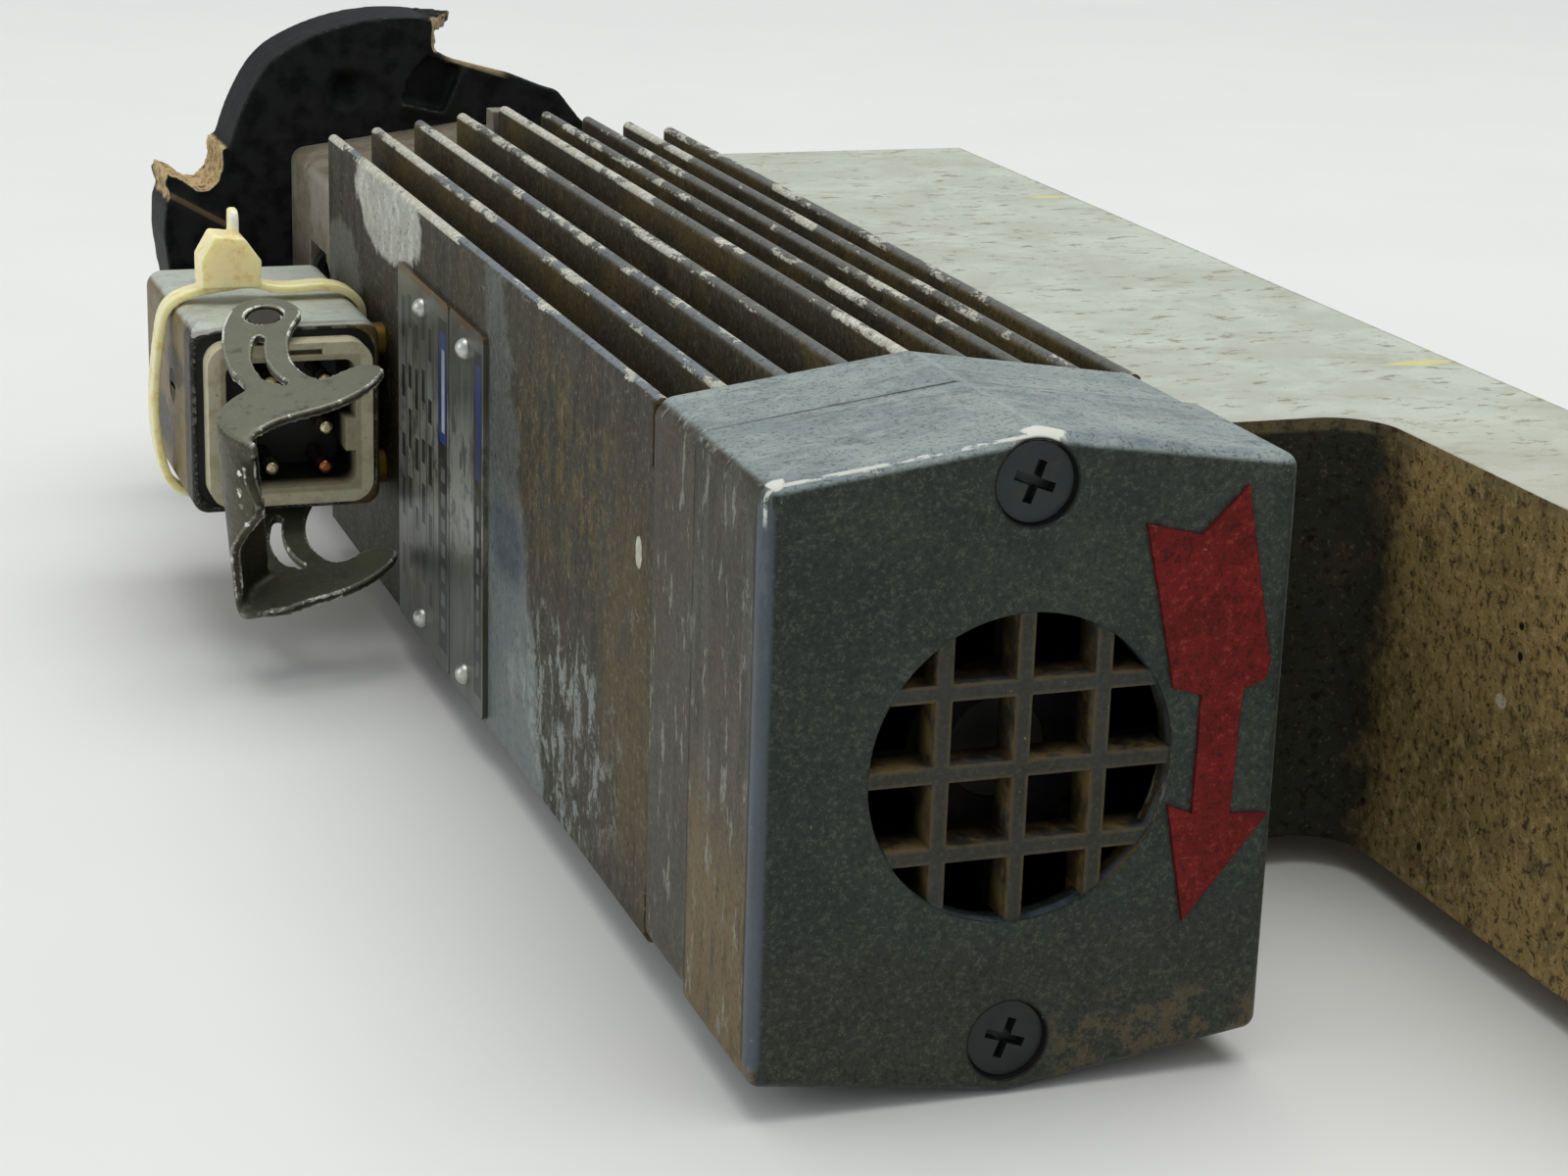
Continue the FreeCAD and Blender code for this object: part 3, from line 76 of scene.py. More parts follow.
class Graph:
    """Short calls for building one node material. Coordinates are the CAD frame in millimetres."""

    def __init__(self, name, roughness=0.5, metallic=0.0, specular=0.5, rounding=0.0):
        self.material = bpy.data.materials.new(name)
        self.material.use_nodes = True
        self.tree = self.material.node_tree
        self.shader = self.tree.nodes["Principled BSDF"]
        self.shader.inputs["Roughness"].default_value = roughness
        self.shader.inputs["Metallic"].default_value = metallic
        self.shader.inputs["Specular IOR Level"].default_value = specular
        coords = self.tree.nodes.new("ShaderNodeTexCoord")
        scale = self.tree.nodes.new("ShaderNodeVectorMath")
        scale.operation = "SCALE"
        scale.inputs["Scale"].default_value = 1.0 / MM
        self.tree.links.new(coords.outputs["Object"], scale.inputs[0])
        self.mm = scale.outputs[0]
        self.x, self.y, self.z = self.split(self.mm)
        if rounding:
            self.put(self.shader.inputs["Normal"], self.rounded(rounding))

    def put(self, socket, value):
        """Links a socket, or sets a number, vector or colour."""
        if isinstance(value, bpy.types.NodeSocket):
            self.tree.links.new(value, socket)
        elif isinstance(value, (tuple, list)) and len(value) == 3 and len(socket.default_value) == 4:
            socket.default_value = (*value, 1.0)
        else:
            socket.default_value = value

    def split(self, vector):
        node = self.tree.nodes.new("ShaderNodeSeparateXYZ")
        self.put(node.inputs[0], vector)
        return node.outputs

    def math(self, operation, a, b=0.0):
        node = self.tree.nodes.new("ShaderNodeMath")
        node.operation = operation
        self.put(node.inputs[0], a)
        self.put(node.inputs[1], b)
        return node.outputs[0]

    def add(self, a, b):
        return self.math("ADD", a, b)

    def mul(self, a, b, c=1.0):
        product = self.math("MULTIPLY", a, b)
        return product if c == 1.0 else self.math("MULTIPLY", product, c)

    def sub(self, a, b):
        return self.math("SUBTRACT", a, b)

    def most(self, a, b):
        return self.math("MAXIMUM", a, b)

    def absolute(self, a):
        return self.math("ABSOLUTE", a)

    def inverse(self, a):
        return self.sub(1.0, a)

    def distance(self, a, b):
        """How far the point (a, b) lies from (0, 0)."""
        return self.math("SQRT", self.add(self.mul(a, a), self.mul(b, b)))

    def off_line(self, slope, level):
        """How far in z a point lies from the line z = level - slope * x."""
        return self.absolute(self.add(self.add(self.z, self.mul(self.x, slope)), -level))

    def above(self, value, edge, soft):
        """0 below edge, 1 above edge + soft."""
        node = self.tree.nodes.new("ShaderNodeMapRange")
        node.interpolation_type = "SMOOTHSTEP"
        self.put(node.inputs["Value"], value)
        self.put(node.inputs["From Min"], edge)
        self.put(node.inputs["From Max"], edge + soft)
        return node.outputs[0]

    def below(self, value, edge, soft):
        """1 below edge - soft, 0 above edge."""
        return self.inverse(self.above(value, edge - soft, soft))

    def between(self, value, low, high, soft):
        """1 from low to high, falling to 0 over soft outside of them."""
        return self.mul(self.above(value, low - soft, soft), self.below(value, high + soft, soft))

    def band(self, *limits, soft=0.4):
        """1 inside a box given as (axis socket, low, high) rows."""
        result = 1.0
        for axis, low, high in limits:
            inside = self.between(axis, low, high, soft)
            result = inside if result == 1.0 else self.mul(result, inside)
        return result

    def spot(self, a, b, centre, radii, ragged=0.5, grain=6.0, soft=0.25):
        """1 inside an ellipse with a ragged outline, over the two coordinates a and b."""
        da = self.math("DIVIDE", self.add(a, -centre[0]), radii[0])
        db = self.math("DIVIDE", self.add(b, -centre[1]), radii[1])
        wobble = self.mul(self.add(self.noise(grain, 6, 0.7), -0.5), 2.0 * ragged)
        return self.below(self.add(self.distance(da, db), wobble), 1.0 + soft / 2, soft)

    def stretch(self, sx, sy, sz):
        """Coordinates squeezed by these factors: a small factor draws the pattern out along that axis."""
        node = self.tree.nodes.new("ShaderNodeVectorMath")
        node.operation = "MULTIPLY"
        self.put(node.inputs[0], self.mm)
        node.inputs[1].default_value = (sx, sy, sz)
        return node.outputs[0]

    def noise(self, size, detail=4.0, rough=0.55, vector=None, warp=0.0):
        """Noise whose features are about size millimetres."""
        node = self.tree.nodes.new("ShaderNodeTexNoise")
        self.put(node.inputs["Vector"], vector or self.mm)
        node.inputs["Scale"].default_value = 1.0 / size
        node.inputs["Detail"].default_value = detail
        node.inputs["Roughness"].default_value = rough
        node.inputs["Distortion"].default_value = warp
        return node.outputs[0]

    def cells(self, size):
        """Distance to the nearest of scattered points that are about size millimetres apart."""
        node = self.tree.nodes.new("ShaderNodeTexVoronoi")
        self.put(node.inputs["Vector"], self.mm)
        node.inputs["Scale"].default_value = 1.0 / size
        return node.outputs["Distance"]

    def mix(self, fac, a, b):
        node = self.tree.nodes.new("ShaderNodeMix")
        node.data_type = "RGBA"
        self.put(node.inputs["Factor"], fac)
        self.put(node.inputs["A"], a)
        self.put(node.inputs["B"], b)
        return node.outputs["Result"]

    def layers(self, base, *coats):
        """base colour covered in turn by (mask, colour) coats."""
        colour = base
        for mask, coat in coats:
            colour = self.mix(mask, colour, coat)
        return colour

    def rounded(self, radius):
        """Surface normals as if the edges were rounded by radius millimetres."""
        node = self.tree.nodes.new("ShaderNodeBevel")
        node.samples = 4
        node.inputs["Radius"].default_value = radius * MM
        return node.outputs[0]

    def edges(self, radius, low=0.02, high=0.12):
        """1 near the sharp edges of the mesh, 0 on its faces."""
        geometry = self.tree.nodes.new("ShaderNodeNewGeometry")
        dot = self.tree.nodes.new("ShaderNodeVectorMath")
        dot.operation = "DOT_PRODUCT"
        self.put(dot.inputs[0], self.rounded(radius))
        self.put(dot.inputs[1], geometry.outputs["Normal"])
        return self.above(self.inverse(dot.outputs["Value"]), low, high - low)

    def facing(self, axis, sign=1, edge=0.5, soft=0.3):
        """1 where the surface faces along +axis or -axis, in the object's own frame."""
        geometry = self.tree.nodes.new("ShaderNodeNewGeometry")
        turn = self.tree.nodes.new("ShaderNodeVectorTransform")
        turn.vector_type = "NORMAL"
        turn.convert_from = "WORLD"
        turn.convert_to = "OBJECT"
        self.put(turn.inputs[0], geometry.outputs["Normal"])
        part = self.split(turn.outputs[0])["XYZ".index(axis)]
        return self.above(self.mul(part, float(sign)), edge, soft)

    def convex(self, low, high):
        """1 on the outward-curving edges of a dense mesh."""
        geometry = self.tree.nodes.new("ShaderNodeNewGeometry")
        return self.above(geometry.outputs["Pointiness"], low, high - low)

    def bump(self, height, strength, depth):
        """Adds relief of depth millimetres on top of the relief that is already there."""
        node = self.tree.nodes.new("ShaderNodeBump")
        node.inputs["Strength"].default_value = strength
        node.inputs["Distance"].default_value = depth * MM
        self.put(node.inputs["Height"], height)
        previous = self.shader.inputs["Normal"]
        if previous.links:
            self.put(node.inputs["Normal"], previous.links[0].from_socket)
        self.put(previous, node.outputs[0])

    def color(self, value):
        self.put(self.shader.inputs["Base Color"], value)

    def rough(self, value):
        self.put(self.shader.inputs["Roughness"], value)

    def metal(self, value):
        self.put(self.shader.inputs["Metallic"], value)


def srgb(r, g, b):
    """A colour given as 0-255 display values, as linear light."""
    return tuple(((v / 255 + 0.055) / 1.055) ** 2.4 if v > 10 else v / 255 / 12.92 for v in (r, g, b))


CHIP = srgb(214, 214, 204)
# dark brown-black: oil on the connector's side, painted shade deep between the fins
OIL_AND_SHADE_BLACK = srgb(30, 27, 20)
BEIGE_BREAK = srgb(196, 172, 128)

# Places on the CAD parts, in millimetres. The spots in the materials are centres and radii in that frame.
GRILLE_R = 18.25
COVER_SCREW_Z = 32.85
SCREW_RING_R = 5.3
ARM_SIDE_X = 72.0
# where the painted shade on the bracket's wall beside the motor begins
CORNER_SHADE_Y = -229.0


# ======== painted castings ========

def cover_flank(g, seam_y):
    """Brown streaks on the cover's side; the rear shield beyond the seam has an even brown coat."""
    smear = g.noise(11, 7, 0.7, g.stretch(1, 1, 0.4), 0.6)
    streak = g.noise(5, 6, 0.65, g.stretch(1, 1, 0.16))
    thin_streak = g.noise(2.0, 6, 0.72, g.stretch(1, 1, 0.14))
    pale_streak = g.noise(2.6, 6, 0.72, g.stretch(1, 1, 0.3))
    brown_top = g.add(g.mul(g.above(g.y, seam_y - 2.5, 8), 12), -12)
    height = g.sub(g.add(g.z, g.mul(g.add(smear, -0.5), 30.0)), brown_top)
    low_brown = g.mul(g.below(height, 14, 22), g.below(g.add(g.y, g.mul(smear, 3)), seam_y + 2.5, 2), 0.8)
    return g.layers(srgb(72, 72, 62),
                    (g.above(streak, 0.44, 0.1), srgb(50, 47, 35)),
                    (g.mul(g.above(smear, 0.5, 0.08), 0.7), srgb(68, 59, 38)),
                    (low_brown, srgb(112, 90, 46)),
                    (g.mul(g.above(g.y, seam_y, 1.0), 0.75), srgb(64, 57, 40)),
                    (g.mul(g.above(thin_streak, 0.56, 0.06), 0.65), srgb(40, 36, 25)),
                    (g.mul(g.above(pale_streak, 0.57, 0.05), 0.75), srgb(136, 137, 122)))


def cover_chips(g, front, left, top, up, screw_ring):
    """Where the cover's enamel has chipped to bare metal: upper left edge, ridge and front corners."""
    line = g.noise(1.9, 6, 0.78, g.stretch(0.3, 1, 1))
    top_left = g.mul(g.band((g.x, left, 1), (g.z, 31, top), soft=2), g.band((g.y, front, front + 3.4)))
    lip = g.band((g.y, front + 0.8, front + 1.05), soft=0.2)
    scrape = g.mul(top_left, g.most(g.mul(lip, g.above(line, 0.46, 0.04)),
                                    g.mul(up, g.above(line, 0.63, 0.03))), 0.9)
    ridge = g.spot(g.x, g.y, (1.0, front + 1.6), (2.4, 1.7), 0.6, 1.5)
    outer = g.above(g.distance(g.x, g.z), GRILLE_R + 3, 1)
    loose = g.mul(g.mul(g.edges(0.7, 0.04, 0.12), outer, g.inverse(screw_ring)),
                  g.above(g.noise(2.2, 6, 0.75), 0.61, 0.04), g.below(g.y, front + 6, 4))
    corner = g.mul(g.spot(g.x, g.z, (left + 1.2, 34.6), (1.3, 0.9), 0.4, 1.0), g.below(g.y, front + 2.6, 0.6))
    return g.most(g.most(scrape, corner), g.most(g.mul(ridge, up), loose))


def cover_enamel():
    """Fan cover and rear shield: dark sandy front, a painted pale sheen on the top, brown streaked side, painted
    bluish highlights on the rounded front edge, painted shade deep in the grille, chipped rim.
    """
    g = Graph("cover_enamel", 0.42, specular=0.2, rounding=0.5)
    (left, front, low), (right, seam_y, top) = box_mm("fan_cover")
    fine = g.noise(0.65, 3, 0.8)
    coarse = g.noise(1.5, 4, 0.74)
    cloud = g.noise(16, 6, 0.62)
    pit = g.mul(g.above(g.noise(1.0, 2, 0.5), 0.75, 0.03), 0.6)
    screw_reach = g.distance(g.x, g.sub(g.absolute(g.z), COVER_SCREW_Z))
    screw_ring = g.mul(g.below(screw_reach, SCREW_RING_R, 0.4), g.below(g.y, front + 6, 1))
    up = g.mul(g.facing("Z", 1, 0.3, 0.35), g.above(g.z, 24, 3), g.inverse(screw_ring))
    side = g.facing("X", -1, 0.45, 0.35)

    face = g.mix(g.above(cloud, 0.36, 0.3), srgb(42, 48, 43), srgb(54, 59, 53))
    face = g.mix(g.mul(g.below(g.add(g.z, g.mul(cloud, 20)), 0, 34), 0.6), face, srgb(57, 56, 46))
    # painted sheen: the upward faces are painted pale for the light their semi-gloss paint catches
    painted_top_sheen = g.mix(g.above(cloud, 0.36, 0.3), srgb(128, 140, 139), srgb(152, 162, 158))
    colour = g.mix(side, g.mix(up, face, painted_top_sheen), cover_flank(g, seam_y))

    stain = g.mul(up, g.above(g.noise(9, 8, 0.72, g.stretch(0.4, 1.4, 1), 0.8), 0.54, 0.1), 0.45)
    leather = g.noise(2.2, 5, 0.7, g.stretch(0.6, 1.0, 1), 0.4)
    mould_line = g.band((g.x, 0.9, 1.3), soft=0.5)
    seam = g.mul(g.band((g.y, seam_y - 0.3, seam_y + 0.2), soft=0.25), g.above(g.noise(9, 4), 0.3, 0.2))

    # painted highlight: a bluish band along the rounded front rim
    rim = g.mul(g.band((g.y, front + 0.7, front + 1.7), soft=0.4), g.above(g.noise(6, 5, 0.7), 0.35, 0.3))
    left_edge = g.mul(g.below(g.x, left + 1.6, 0.5), g.band((g.z, -32, 31), soft=1.5))
    # painted reflection: a bluish strip down the rounded front-left edge
    painted_edge_reflection = g.mul(left_edge, g.band((g.y, front + 0.3, front + 2.5), soft=0.3))
    edge_line = g.mul(left_edge, g.band((g.y, front + 2.8, front + 3.1), soft=0.25))
    worn_low = g.mul(g.band((g.x, 8, right), (g.z, low, -31), soft=5),
                     g.above(g.noise(2.4, 6, 0.75), 0.5, 0.06))
    chips = cover_chips(g, front, left, top, up, screw_ring)

    grille = g.below(g.distance(g.x, g.z), GRILLE_R - 0.2, 0.3)
    in_grille = g.mul(grille, g.above(g.y, front + 0.3, 0.2))
    inward = g.inverse(g.facing("Y", -1, 0.6, 0.2))
    tan = g.most(g.mul(inward, g.above(g.noise(5, 6, 0.7), 0.42, 0.16)),
                 g.mul(g.edges(0.7, 0.01, 0.05), g.above(g.noise(7, 5, 0.7), 0.3, 0.2)))
    # painted shade: the grille darkens the deeper it lies behind the front face
    painted_grille_depth_shade = g.mul(in_grille, g.above(g.y, front + 2.0, 3.5))

    g.color(g.layers(colour,
                     (g.mul(g.above(fine, 0.55, 0.07), 0.3), srgb(104, 106, 94)),
                     (g.mul(g.below(fine, 0.46, 0.07), 0.55), srgb(24, 26, 22)),
                     (g.mul(g.above(coarse, 0.58, 0.08), 0.2), srgb(88, 92, 82)),
                     (g.mul(g.below(coarse, 0.42, 0.08), 0.25), srgb(28, 30, 26)),
                     (stain, srgb(96, 103, 101)),
                     (g.mul(up, g.above(leather, 0.54, 0.08), 0.5), srgb(160, 168, 164)),
                     (g.mul(up, g.below(leather, 0.44, 0.08), 0.45), srgb(84, 90, 88)),
                     (g.mul(seam, g.add(0.65, g.mul(up, -0.35))), srgb(30, 29, 24)),
                     (g.mul(mould_line, up, 0.25), srgb(176, 184, 184)),
                     (g.mul(rim, 0.6), srgb(98, 112, 128)),
                     (g.mul(painted_edge_reflection, 0.8), srgb(76, 86, 94)),
                     (g.mul(edge_line, 0.85), srgb(20, 20, 17)),
                     (g.mul(grille, 0.5), srgb(54, 48, 34)),
                     (g.mul(worn_low, 0.4), srgb(112, 96, 66)),
                     (g.mul(in_grille, tan, 0.75), srgb(134, 112, 70)),
                     (g.mul(painted_grille_depth_shade, 0.85), srgb(30, 26, 18)),
                     (g.mul(screw_ring, g.above(screw_reach, 4.0, 0.4), 0.9), srgb(14, 14, 13)),
                     (pit, srgb(132, 130, 116)),
                     (chips, CHIP)))
    g.rough(g.add(g.add(0.34, g.mul(up, 0.1)), g.mul(g.noise(4, 6, 0.7), 0.2)))
    g.bump(fine, 0.5, 0.2)
    g.bump(coarse, 0.3, 0.25)
    g.bump(g.inverse(chips), 0.4, 0.15)
    return g.material


def housing_wall(g, cloud, wiped):
    """The wall on the connector's side: brown oily paint, wiped grey beside the plates, bare patches, and painted
    shade behind the plug.
    """
    streak = g.noise(4.5, 7, 0.7, g.stretch(1, 1, 0.2))
    thin_streak = g.noise(2.0, 6, 0.72, g.stretch(1, 1, 0.2))
    smear = g.noise(13, 7, 0.72, g.stretch(1, 1, 0.5), 0.8)
    flake = g.noise(3.6, 8, 0.78, g.stretch(1, 1, 0.7), 0.5)
    plug_y = box_mm("connector_housing")[0].y
    # painted shade: the wall is darkened behind the connector, where the plug shades it
    painted_shade_behind_plug = g.mul(g.above(g.y, plug_y - 22.5, 10), g.below(g.z, 22, 12))
    blue_blot = g.spot(g.y, g.z, (-160, -3), (9, 5.5), 0.4, 6, 0.8)
    pale_field = g.spot(g.y, g.z, (-190, -20), (24, 14), 0.9, 7, 0.6)
    brown_up = g.spot(g.y, g.z, (-190, 14), (26, 13), 0.9, 9, 0.8)
    brown_end = g.spot(g.y, g.z, (-221, -6), (13, 24), 0.9, 8, 0.7)
    bare = g.spot(g.y, g.z, (-82, 31), (24, 9.5), 0.35, 7, 0.12)
    bare_low = g.spot(g.y, g.z, (-47, 14.5), (14, 7), 0.5, 6, 0.25)
    bare_metal = g.mix(g.above(g.noise(3, 5), 0.4, 0.3), srgb(176, 177, 166), srgb(206, 207, 198))
    return g.layers(srgb(60, 58, 47),
                    (g.above(streak, 0.47, 0.1), srgb(46, 43, 33)),
                    (g.mul(g.above(smear, 0.5, 0.1), 0.6), srgb(62, 54, 36)),
                    (g.mul(brown_up, g.above(flake, 0.46, 0.1), 0.8), srgb(92, 77, 44)),
                    (g.mul(brown_end, g.above(smear, 0.38, 0.2), 0.75), srgb(84, 70, 40)),
                    (g.mul(g.above(thin_streak, 0.57, 0.06), 0.6), srgb(32, 29, 20)),
                    (g.mul(wiped, 0.85), srgb(106, 114, 115)),
                    (g.mul(blue_blot, 0.8), srgb(58, 66, 78)),
                    (g.mul(painted_shade_behind_plug, g.above(cloud, 0.3, 0.2), 0.9), srgb(38, 35, 26)),
                    (g.mul(pale_field, g.above(flake, 0.5, 0.06), 0.85), srgb(140, 146, 142)),
                    (g.mul(g.above(flake, 0.6, 0.05), 0.6), srgb(132, 136, 128)),
                    (g.mul(bare_low, 0.45), srgb(130, 132, 120)),
                    (bare, bare_metal))


def wiped_by_plates(g):
    """The grey strip beside the nameplates, which widens downwards."""
    ragged = g.mul(g.add(g.noise(7, 6, 0.7), -0.5), 18.0)
    widening = g.add(g.mul(g.add(g.mul(g.z, -1.0), 25.0), 0.34), ragged)
    plate_y = box_mm("nameplate_small")[0].y
    return g.mul(g.above(g.add(g.y, widening), plate_y - 13.5, 4), g.below(g.y, plate_y + 3.5, 3),
                 g.add(0.45, g.mul(g.below(g.z, 8, 14), 0.55)))


def fin_sides(g, cloud):
    """Brown dust on the sides of the fins, with painted shade darkening them deeper down between them."""
    dust = g.noise(18, 6, 0.68, g.stretch(1, 0.5, 1), 0.6)
    return g.layers(srgb(70, 65, 50),
                    (g.above(dust, 0.44, 0.2), srgb(98, 84, 52)),
                    (g.mul(g.above(cloud, 0.54, 0.14), 0.6), srgb(44, 40, 29)),
                    (g.mul(g.above(g.noise(2.8, 6, 0.75), 0.6, 0.07), g.above(g.z, 28, 6), 0.6),
                     srgb(120, 116, 98)),
                    # painted shade: the fin sides darken towards their roots
                    (g.mul(g.below(g.z, 29, 7), g.above(g.z, 0, 4), 0.65), OIL_AND_SHADE_BLACK))


def fin_tips(g):
    """Blue-grey enamel on the tips of the fins, browner away from the connector."""
    return g.layers(srgb(112, 119, 124),
                    (g.mul(g.above(g.x, -26, 22), 0.75), srgb(92, 89, 78)),
                    (g.mul(g.above(g.noise(7, 6, 0.7, g.stretch(1, 0.4, 1)), 0.5, 0.14), 0.7),
                     srgb(86, 86, 80)))


def housing_chips(g, wall):
    """Chips along the fin tips, more of them towards the tool end, on the rims and one on the wall."""
    along = g.noise(4.4, 7, 0.76, g.stretch(1, 0.36, 1))
    big = g.noise(24, 3, 0.5, g.stretch(2.0, 0.7, 1))
    toward_tool = g.add(g.mul(g.above(g.y, -190, 120), 0.05), g.mul(g.above(g.x, -4, 14), -0.028))
    nick = g.mul(g.above(g.add(toward_tool, g.add(g.mul(big, 0.5), g.mul(along, 0.75))), 0.655, 0.02),
                 g.above(g.z, 31.5, 1.2))
    tip_chips = g.mul(nick, g.facing("Z", 1, 0.1, 0.25))
    rim_chips = g.mul(g.edges(0.8, 0.04, 0.14), g.above(g.noise(2.6, 6, 0.75), 0.6, 0.04))
    single = g.mul(wall, g.spot(g.y, g.z, (-224, 14), (1.3, 2.1), 0.35, 1.5, 0.1))
    return g.most(g.most(tip_chips, g.mul(rim_chips, 0.8)), single)


def housing_enamel():
    """Finned housing: brown oily wall with rubbed patches, dark fin sides, blue-grey chipped tips."""
    g = Graph("housing_enamel", 0.4, specular=0.16, rounding=0.35)
    (wall_x, seam_y, _), _ = box_mm("motor_housing")
    fine = g.noise(0.9, 4, 0.78)
    cloud = g.noise(12, 6, 0.65, warp=0.5)
    wall = g.mul(g.facing("X", -1, 0.6, 0.2), g.below(g.x, wall_x + 1.2, 0.5))
    up = g.facing("Z", 1, 0.35, 0.35)
    fins = g.mix(g.mul(up, g.above(g.z, 30, 2)), fin_sides(g, cloud), fin_tips(g))
    wiped = wiped_by_plates(g)
    chips = housing_chips(g, wall)
    fin_ends = g.mul(g.facing("Y", 1, 0.6, 0.2), g.above(g.z, 28, 3))
    slit_z = g.band((g.absolute(g.add(g.z, 0.2)), 26.5, 33.6), soft=0.6)
    slit = g.mul(wall, g.band((g.y, seam_y - 0.1, seam_y + 0.6), soft=0.15), slit_z)
    g.color(g.layers(g.mix(wall, fins, housing_wall(g, cloud, wiped)),
                     (g.mul(g.above(fine, 0.56, 0.07), 0.42), srgb(130, 125, 104)),
                     (g.mul(g.below(fine, 0.45, 0.07), 0.6), srgb(28, 25, 17)),
                     (g.mul(fin_ends, 0.5), srgb(146, 140, 128)),
                     (g.mul(slit, 0.95), srgb(12, 11, 9)),
                     (chips, g.mix(g.above(fine, 0.45, 0.2), srgb(172, 170, 152), CHIP))))
    shine = g.mul(g.most(wiped, g.mul(up, 0.6)), 0.2)
    g.rough(g.sub(g.add(0.4, g.mul(g.noise(3, 6, 0.7), 0.26)), shine))
    g.bump(fine, 0.4, 0.2)
    g.bump(g.noise(6, 5, 0.6), 0.3, 0.4)
    g.bump(g.inverse(chips), 0.5, 0.2)
    return g.material


def flange_metal():
    """Bare pinkish-grey casting, turned smooth on its face, with oily brown in its corners and painted shade low
    on its side towards the connector.
    """
    g = Graph("flange_metal", 0.42, 0.3, specular=0.3, rounding=0.4)
    fine = g.noise(0.7, 3, 0.75)
    cloud = g.noise(7, 6, 0.68)
    patch = g.mul(g.facing("X", -1, 0.6, 0.2), g.spot(g.y, g.z, (-30, 26), (12, 9), 0.6, 6, 0.4))
    top = g.facing("Z", 1, 0.4, 0.3)
    # painted shade: the side towards the connector is darkened low down
    painted_shade_low_side = g.mul(g.facing("X", -1, 0.6, 0.2), g.below(g.z, 18, 12))
    g.color(g.layers(srgb(150, 144, 128),
                     (g.above(cloud, 0.42, 0.2), srgb(126, 118, 100)),
                     (g.mul(g.above(g.noise(4, 6, 0.7), 0.56, 0.12), 0.7), srgb(84, 72, 52)),
                     (g.mul(painted_shade_low_side, 0.8), srgb(52, 46, 34)),
                     (g.mul(patch, 0.7), srgb(156, 150, 140)),
                     (g.mul(top, 0.3), srgb(90, 78, 58)),
                     (g.mul(g.above(fine, 0.56, 0.14), 0.35), srgb(160, 152, 136)),
                     (g.mul(g.below(fine, 0.44, 0.14), 0.4), srgb(52, 46, 36)),
                     (g.mul(g.edges(0.7), g.above(g.noise(2, 5), 0.42, 0.1), 0.7), srgb(186, 184, 174))))
    g.rough(g.add(0.32, g.mul(g.noise(2.4, 6, 0.7), 0.3)))
    g.bump(fine, 0.25, 0.12)
    return g.material


